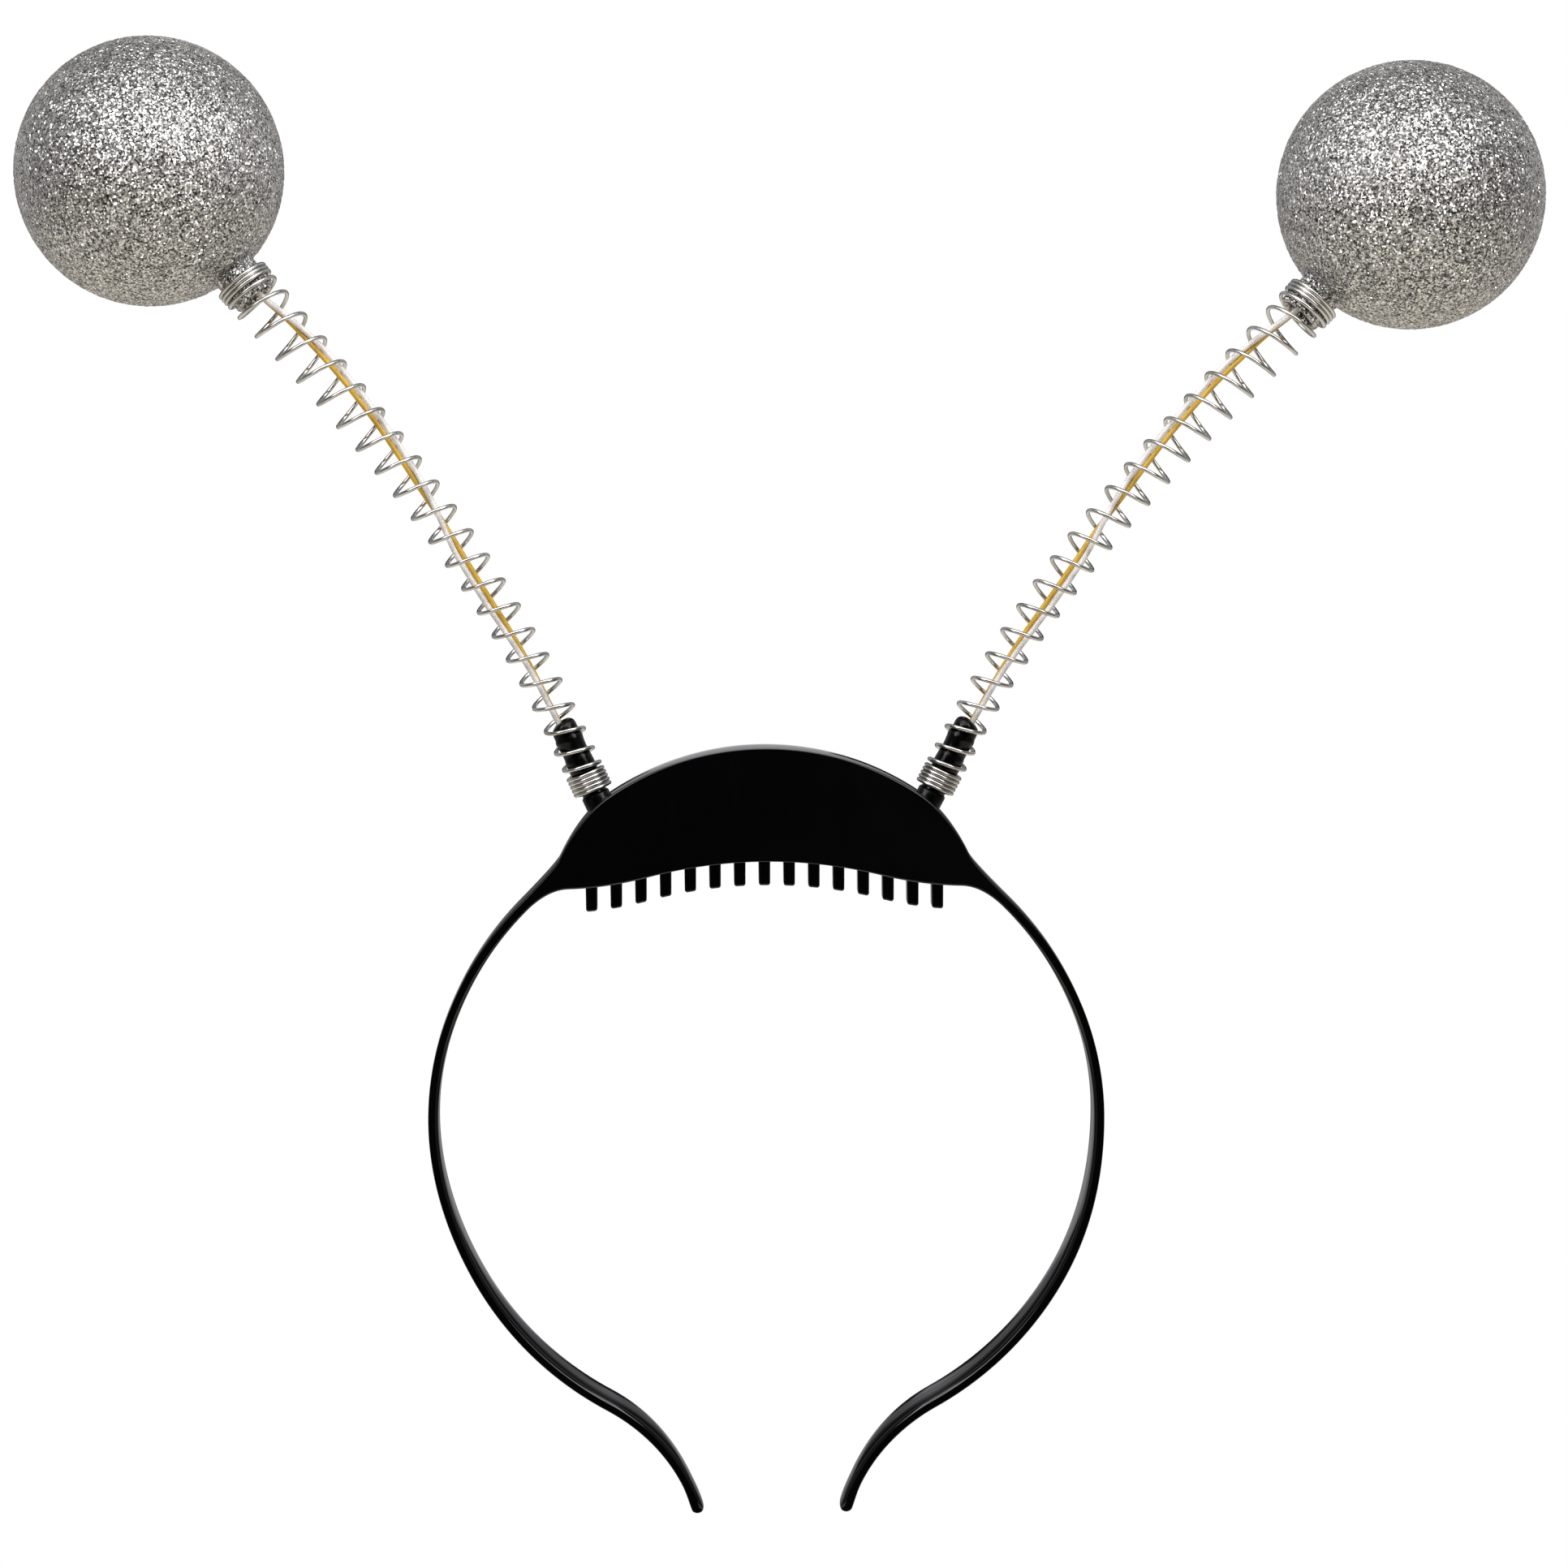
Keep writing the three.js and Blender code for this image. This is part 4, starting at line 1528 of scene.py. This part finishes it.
@dataclass
class Ball:
    """A hollow-necked ball whose whole skin is rough with small facets."""

    antenna: Antenna
    seed: int
    neck_radius: float = 4.3
    neck_bore: float = 3.2
    neck_chamfer: float = 0.3
    fillet: float = 0.9
    fillet_steps: int = 7
    sphere_steps: int = 399
    sphere_share: float = 0.96
    bore_floor: float = -22.0
    facet: float = 0.5
    row_share: float = 0.866
    least_facets: int = 5
    turn_spread: float = 0.9
    lift: float = 0.07
    slide: float = 0.12
    row_slide_share: float = 0.5
    crease: float = 75.0

    def profile(self) -> Points:
        """Draws the skin's profile, from the bore's floor round the neck to the far pole.

        Returns:
            Rows of height along the antenna, counted from the ball's centre, and radius.
        """
        radius = self.antenna.ball_radius
        end = -radius - self.antenna.neck_reach
        lip = self.neck_chamfer
        touch_angle = math.asin((self.neck_radius + self.fillet) / (radius + self.fillet))
        fillet_height = -(radius + self.fillet) * math.cos(touch_angle)
        corners = [
            (self.bore_floor, 0.0),
            (self.bore_floor, self.neck_bore),
            (end + lip, self.neck_bore),
            (end, self.neck_bore + lip),
            (end, self.neck_radius - lip),
            (end + lip, self.neck_radius),
            (fillet_height, self.neck_radius),
        ]
        turn = np.linspace(0.0, math.pi / 2 - touch_angle, self.fillet_steps + 1)[1:]
        rounded = [
            (fillet_height + self.fillet * math.sin(a), self.neck_radius + self.fillet * (1 - math.cos(a)))
            for a in turn
        ]
        sweep = np.linspace(touch_angle, math.pi, self.sphere_steps + 1)[1:]
        sphere = [(-radius * math.cos(a), radius * math.sin(a)) for a in sweep]
        return np.array(corners + rounded + sphere)

    def rows(self) -> tuple[Points, Points]:
        """Spaces the facets' rows evenly along the profile.

        Returns:
            Heights and radii of the rows.
        """
        profile = self.profile()
        distance = lengths_along(profile)
        count = int(distance[-1] / (self.facet * self.row_share))
        heights, radii = read_between(np.linspace(0.0, distance[-1], count + 1), distance, profile).T
        return heights, np.maximum(radii, 0.0)

    def build(self) -> bpy.types.Object:
        """Makes the ball's rough skin, row by row.

        Returns:
            The ball.
        """
        generator = np.random.default_rng(self.seed)
        heights, radii = self.rows()
        points: list[Points] = []
        faces: list[Face] = []
        below_first, below_count, first = 0, 0, 0
        for row, (height, radius) in enumerate(zip(heights, radii)):
            is_tip = row in (0, len(heights) - 1)
            count = 1 if is_tip else max(int(2 * math.pi * radius / self.facet), self.least_facets)
            turns = (np.arange(count) + generator.uniform(0.0, self.turn_spread)) / count * 2 * math.pi
            turns = turns + generator.uniform(-self.slide, self.slide, count) / max(radius, self.facet)
            raised = generator.uniform(-self.lift, self.lift, count) if count > 1 else np.zeros(1)
            place = height + generator.uniform(-self.slide, self.slide, count) * self.row_slide_share
            points.append(self._placed(turns, place, radius, raised))
            if row > 0:
                faces += self._strip(below_first, below_count, first, count)
            below_first, below_count, first = first, count, first + count
        name = f"glitter_ball_{self.antenna.side.value}"
        return solid(name, np.concatenate(points), faces, self.crease)

    def _placed(self, turns: Points, place: Points, radius: float, raised: Points) -> Points:
        """Places the points of one row.

        Args:
            turns: Their angles round the antenna, in radians.
            place: Their heights along the antenna, counted from the ball's centre.
            radius: The row's radius.
            raised: How far each is raised from the skin, or sunk into it.

        Returns:
            The points.
        """
        antenna = self.antenna
        across = unit(np.cross(antenna.inward, np.array([0.0, 1.0, 0.0])))
        over = np.cross(antenna.inward, across)
        around = np.cos(turns)[:, None] * across + np.sin(turns)[:, None] * over
        on_sphere = bool(np.mean(place) > -antenna.ball_radius * self.sphere_share)
        flat = around * radius + place[:, None] * antenna.inward
        outward = unit(flat) if on_sphere else around
        return antenna.centre + flat + outward * raised[:, None]

    @staticmethod
    def _strip(first: int, count: int, next_first: int, next_count: int) -> list[Face]:
        """Lists the triangles between two rows with different numbers of points.

        Args:
            first: Number of the lower row's first point.
            count: Points in the lower row.
            next_first: Number of the upper row's first point.
            next_count: Points in the upper row.

        Returns:
            The faces.
        """
        faces = []
        i = j = 0
        total = count if count > 1 else 0
        next_total = next_count if next_count > 1 else 0
        while i < total or j < next_total:
            here, there = first + i % count, next_first + j % next_count
            if j >= next_total or (i < total and (i + 1) * next_count <= (j + 1) * count):
                faces.append((here, first + (i + 1) % count, there))
                i += 1
            else:
                faces.append((here, next_first + (j + 1) % next_count, there))
                j += 1
        return faces


# Studio

@dataclass(frozen=True)
class SoftBox:
    """A rectangular light, with its size in metres, its power in watts and the place that it is turned to."""

    name: str
    place: Triple
    size: Pair
    power: float
    target: Triple = (0.0, 0.0, 60.0)


@dataclass
class Studio:
    """A white sweep, a few soft boxes and a dark side towards the camera.

    Each range is the stretch of a direction's x, y or z over which one light passes into the next.
    """

    camera_place: Triple = (-16.917, -1075.441, 115.877)
    pitch: float = 5.149
    yaw: float = 1.107
    roll: float = -0.41
    lens: float = 131.1
    sensor: float = 36.0
    clip: Range = (0.01, 100.0)
    floor_z: float = -1500.0
    floor_size: float = 12000.0
    soft_boxes: tuple[SoftBox, ...] = (
        SoftBox("top_box", (0.0, -210.0, 360.0), (0.76, 0.34), 2.0),
        SoftBox("left_box", (-330.0, -310.0, 300.0), (0.2, 0.26), 0.5),
        SoftBox("right_box", (330.0, -310.0, 300.0), (0.2, 0.26), 0.5),
        SoftBox("inner_left_box", (-5.0, -50.0, 190.0), (0.18, 0.16), 0.06, (-115.0, 11.0, 135.0)),
        SoftBox("inner_right_box", (5.0, -50.0, 190.0), (0.18, 0.16), 0.06, (124.0, 11.0, 129.0)),
    )
    white: float = 1.0
    front_light: float = 0.015
    over_light: Colour = (0.25, 0.255, 0.27)
    over: Range = (0.2, 0.6)
    side_light: float = 0.17
    beside: Range = (0.45, 0.85)
    below_light: Colour = (0.86, 0.815, 0.725)
    below: Range = (0.26, 0.5)
    behind: Range = (0.05, 0.45)
    back_light: Colour = (0.45, 0.452, 0.475)
    back_high: Colour = (0.5, 0.505, 0.515)
    back_rise: Range = (0.05, 0.4)
    straight_light: float = 0.9
    straight_width: Range = (0.03, 0.06)
    straight_rise: Range = (-0.05, 0.04)
    low_light: float = 0.2
    dark: float = 0.012
    dark_rise: Range = (-0.085, -0.06)
    flank_edge: Range = (0.03, 0.08)
    flank_shift: float = 0.08
    flank_shift_rise: Range = (-0.06, -0.035)
    flank_low_share: float = 0.6
    flank_rise: Range = (-0.06, -0.02)
    lit_from: float = -0.125
    lit_step: float = 0.15
    lit_rise: Range = (0.0, 0.03)
    fade_in: Range = (0.03, 0.24)
    fade_out: Range = (0.32, 0.45)

    def camera(self) -> None:
        """Sets the camera at the photograph's angle."""
        pitch, yaw, roll = (math.radians(angle) for angle in (self.pitch, self.yaw, self.roll))
        flat = math.cos(pitch)
        forward = Vector((math.sin(yaw) * flat, math.cos(yaw) * flat, -math.sin(pitch)))
        level = Vector((math.cos(yaw), -math.sin(yaw), 0.0))
        upright = level.cross(forward)
        right = level * math.cos(roll) + upright * math.sin(roll)
        up = upright * math.cos(roll) - level * math.sin(roll)
        data = bpy.data.cameras.new("camera")
        data.sensor_width = self.sensor
        data.lens = self.lens
        data.clip_start, data.clip_end = self.clip
        camera = bpy.data.objects.new("camera", data)
        turn = Matrix((right, up, -forward)).transposed().to_4x4()
        camera.matrix_world = Matrix.Translation(Vector(self.camera_place) * MM) @ turn
        bpy.context.scene.collection.objects.link(camera)
        bpy.context.scene.camera = camera

    def backdrop(self, shader: Shader, aside: Wire, z: Wire) -> bpy.types.NodeSocket:
        """Works out the sweep behind, with dark stretches that the gloss of the moulding shows.

        Args:
            shader: The world's node tree.
            aside: How far a direction points to either side.
            z: How far it points up.

        Returns:
            The colour.
        """
        rise = shader.smooth(z, *self.back_rise)
        back = shader.mix(rise, opaque(self.back_light), opaque(self.back_high))
        wide = shader.smooth(aside, *self.straight_width)
        straight = (1 - wide) * (1 - shader.smooth(z, *self.straight_rise))
        back = shader.mix(straight, back, grey(self.straight_light))
        shift = self.flank_shift * shader.smooth(z, *self.flank_shift_rise)
        flank = shader.smooth(aside - shift, *self.flank_edge)
        low = self.flank_low_share
        flank = flank * (low + (1 - low) * shader.smooth(z, *self.flank_rise))
        lit = shader.smooth(z - (self.lit_step * wide + self.lit_from), *self.lit_rise)
        lit = lit.maths("MAXIMUM", flank, lit)
        fading = shader.smooth(aside, *self.fade_in) * (1 - shader.smooth(aside, *self.fade_out))
        shade_rise = shader.smooth(z, *self.dark_rise)
        dark = shader.mix(shade_rise, grey(self.low_light), grey(self.dark))
        return shader.mix(lit * (1 - fading), dark, back)

    def world(self) -> None:
        """Lights the object from a white sweep behind and below, with a dark side towards the camera."""
        world = bpy.data.worlds.new("studio")
        world.use_nodes = True
        bpy.context.scene.world = world
        shader = Shader(world.node_tree)
        line = shader.node("ShaderNodeTexCoord").outputs["Generated"]
        parts = shader.node("ShaderNodeSeparateXYZ", None, {0: line})
        x, y, z = (shader.wire(parts, axis) for axis in range(3))
        aside = abs(x)
        glow = shader.mix(shader.smooth(z, *self.over), grey(self.front_light), opaque(self.over_light))
        glow = shader.mix(shader.smooth(aside, *self.beside), glow, grey(self.side_light))
        glow = shader.mix(shader.smooth(y, *self.behind), glow, self.backdrop(shader, aside, z))
        glow = shader.mix(shader.smooth(-z, *self.below), glow, opaque(self.below_light))
        studio = shader.node("ShaderNodeBackground", None, {"Color": glow})
        plain = shader.node("ShaderNodeBackground", None, {"Color": grey(self.white)})
        seen = shader.node("ShaderNodeLightPath").outputs["Is Camera Ray"]
        both = shader.node("ShaderNodeMixShader", None, {0: seen, 1: studio.outputs[0], 2: plain.outputs[0]})
        shader.node("ShaderNodeOutputWorld", None, {"Surface": both.outputs[0]})

    def lights(self) -> None:
        """Hangs the soft boxes in front and above, turned to the object."""
        for box in self.soft_boxes:
            data = bpy.data.lights.new(box.name, "AREA")
            data.shape = "RECTANGLE"
            data.size, data.size_y = box.size
            data.energy = box.power
            lamp = bpy.data.objects.new(box.name, data)
            lamp.location = Vector(box.place) * MM
            away = Vector(box.place) - Vector(box.target)
            lamp.rotation_euler = away.to_track_quat("Z", "Y").to_euler()
            lamp.visible_camera = False
            bpy.context.scene.collection.objects.link(lamp)

    def floor(self) -> None:
        """Lays a plain white floor well below the object, which is held up."""
        half = self.floor_size / 2
        corners = [(-half, -half), (half, -half), (half, half), (-half, half)]
        points = np.array([(x, y, self.floor_z) for x, y in corners])
        floor = solid("floor", points, [(0, 1, 2, 3)])
        material, shader = new_material("white_floor")
        shader.surface(
            {
                "Base Color": grey(0.0),
                "Roughness": 1.0,
                "Specular IOR Level": 0.0,
                "Emission Color": grey(self.white),
                "Emission Strength": 1.0,
            }
        )
        floor.data.materials.append(material)
        floor.visible_glossy = False
        floor.visible_diffuse = False
        floor.visible_shadow = False

    def build(self) -> None:
        """Makes the whole studio."""
        self.camera()
        self.world()
        self.lights()
        self.floor()
        bpy.context.scene.view_settings.view_transform = "Standard"


# The whole part

@dataclass
class Bopper:
    """The head bopper's pieces, with their finishes and the nodes that they stand for."""

    band: Headband = field(default_factory=Headband)
    antennae: tuple[Antenna, ...] = (
        Antenna(Side.LEFT, post_lean=24.6, ball_x=115.0, ball_z=135.2, neck_lean=40.2),
        Antenna(Side.RIGHT, post_lean=28.2, ball_x=123.8, ball_z=129.1, neck_lean=44.2),
    )
    ball_seeds: tuple[int, ...] = (11, 23)

    def build(self) -> None:
        """Makes every piece."""
        self.materials = {
            Slot.PLASTIC: BAND_BLACK.material(),
            Slot.STEEL: DRAWN_STEEL.material(),
            Slot.GLITTER: GLITTER_COAT.material(),
            Slot.WHITE_LEAD: WHITE_INSULATION.material(),
            Slot.YELLOW_LEAD: YELLOW_INSULATION.material(),
        }
        post_material = POST_BLACK.material()
        posts = [Post(antenna) for antenna in self.antennae]
        self.dress(self.band.build(posts), Slot.PLASTIC, "headband")
        self.dress(Comb(self.band).build(), Slot.PLASTIC, "comb")
        for antenna, post, seed in zip(self.antennae, posts, self.ball_seeds):
            side = antenna.side.value
            self.dress(post.build(), Slot.PLASTIC, f"post_{side}", material=post_material)
            self.dress(Spring(antenna).build(), Slot.STEEL, f"spring_{side}", antenna)
            for colour in LeadColour:
                slot = Slot[f"{colour.name}_LEAD"]
                self.dress(Lead(antenna, colour).build(), slot, f"lead_{colour.word}_{side}", antenna)
            ball = Ball(antenna, seed).build()
            self.dress(ball, Slot.GLITTER, f"ball_{side}", body=antenna.side.body)

    def dress(
        self,
        piece: bpy.types.Object,
        slot: Slot,
        node: str,
        bends: Antenna | None = None,
        body: str = "band",
        material: bpy.types.Material | None = None,
    ) -> None:
        """Gives a piece its finish, hides the imported part of its node and puts a rigid piece on its body.

        Args:
            piece: The piece.
            slot: Its material slot.
            node: The node that it stands for.
            bends: The antenna that it runs along, which only bakes it in place, or None for a rigid piece.
            body: The body that a rigid piece rides on.
            material: Its own finish, or None for the slot's usual one.
        """
        piece.data.materials.clear()
        piece.data.materials.append(material or self.materials[slot])
        if bends is None:
            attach(piece, body)
        else:
            bends.blend(piece)
        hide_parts(node)
        LOG.info("%s stands for %s with %d faces", piece.name, node, len(piece.data.polygons))


def main() -> None:
    """Builds the studio and the part."""
    logging.basicConfig(level=logging.INFO, format="%(name)s: %(message)s")
    Studio().build()
    Bopper().build()


if __name__ == "__main__":
    main()
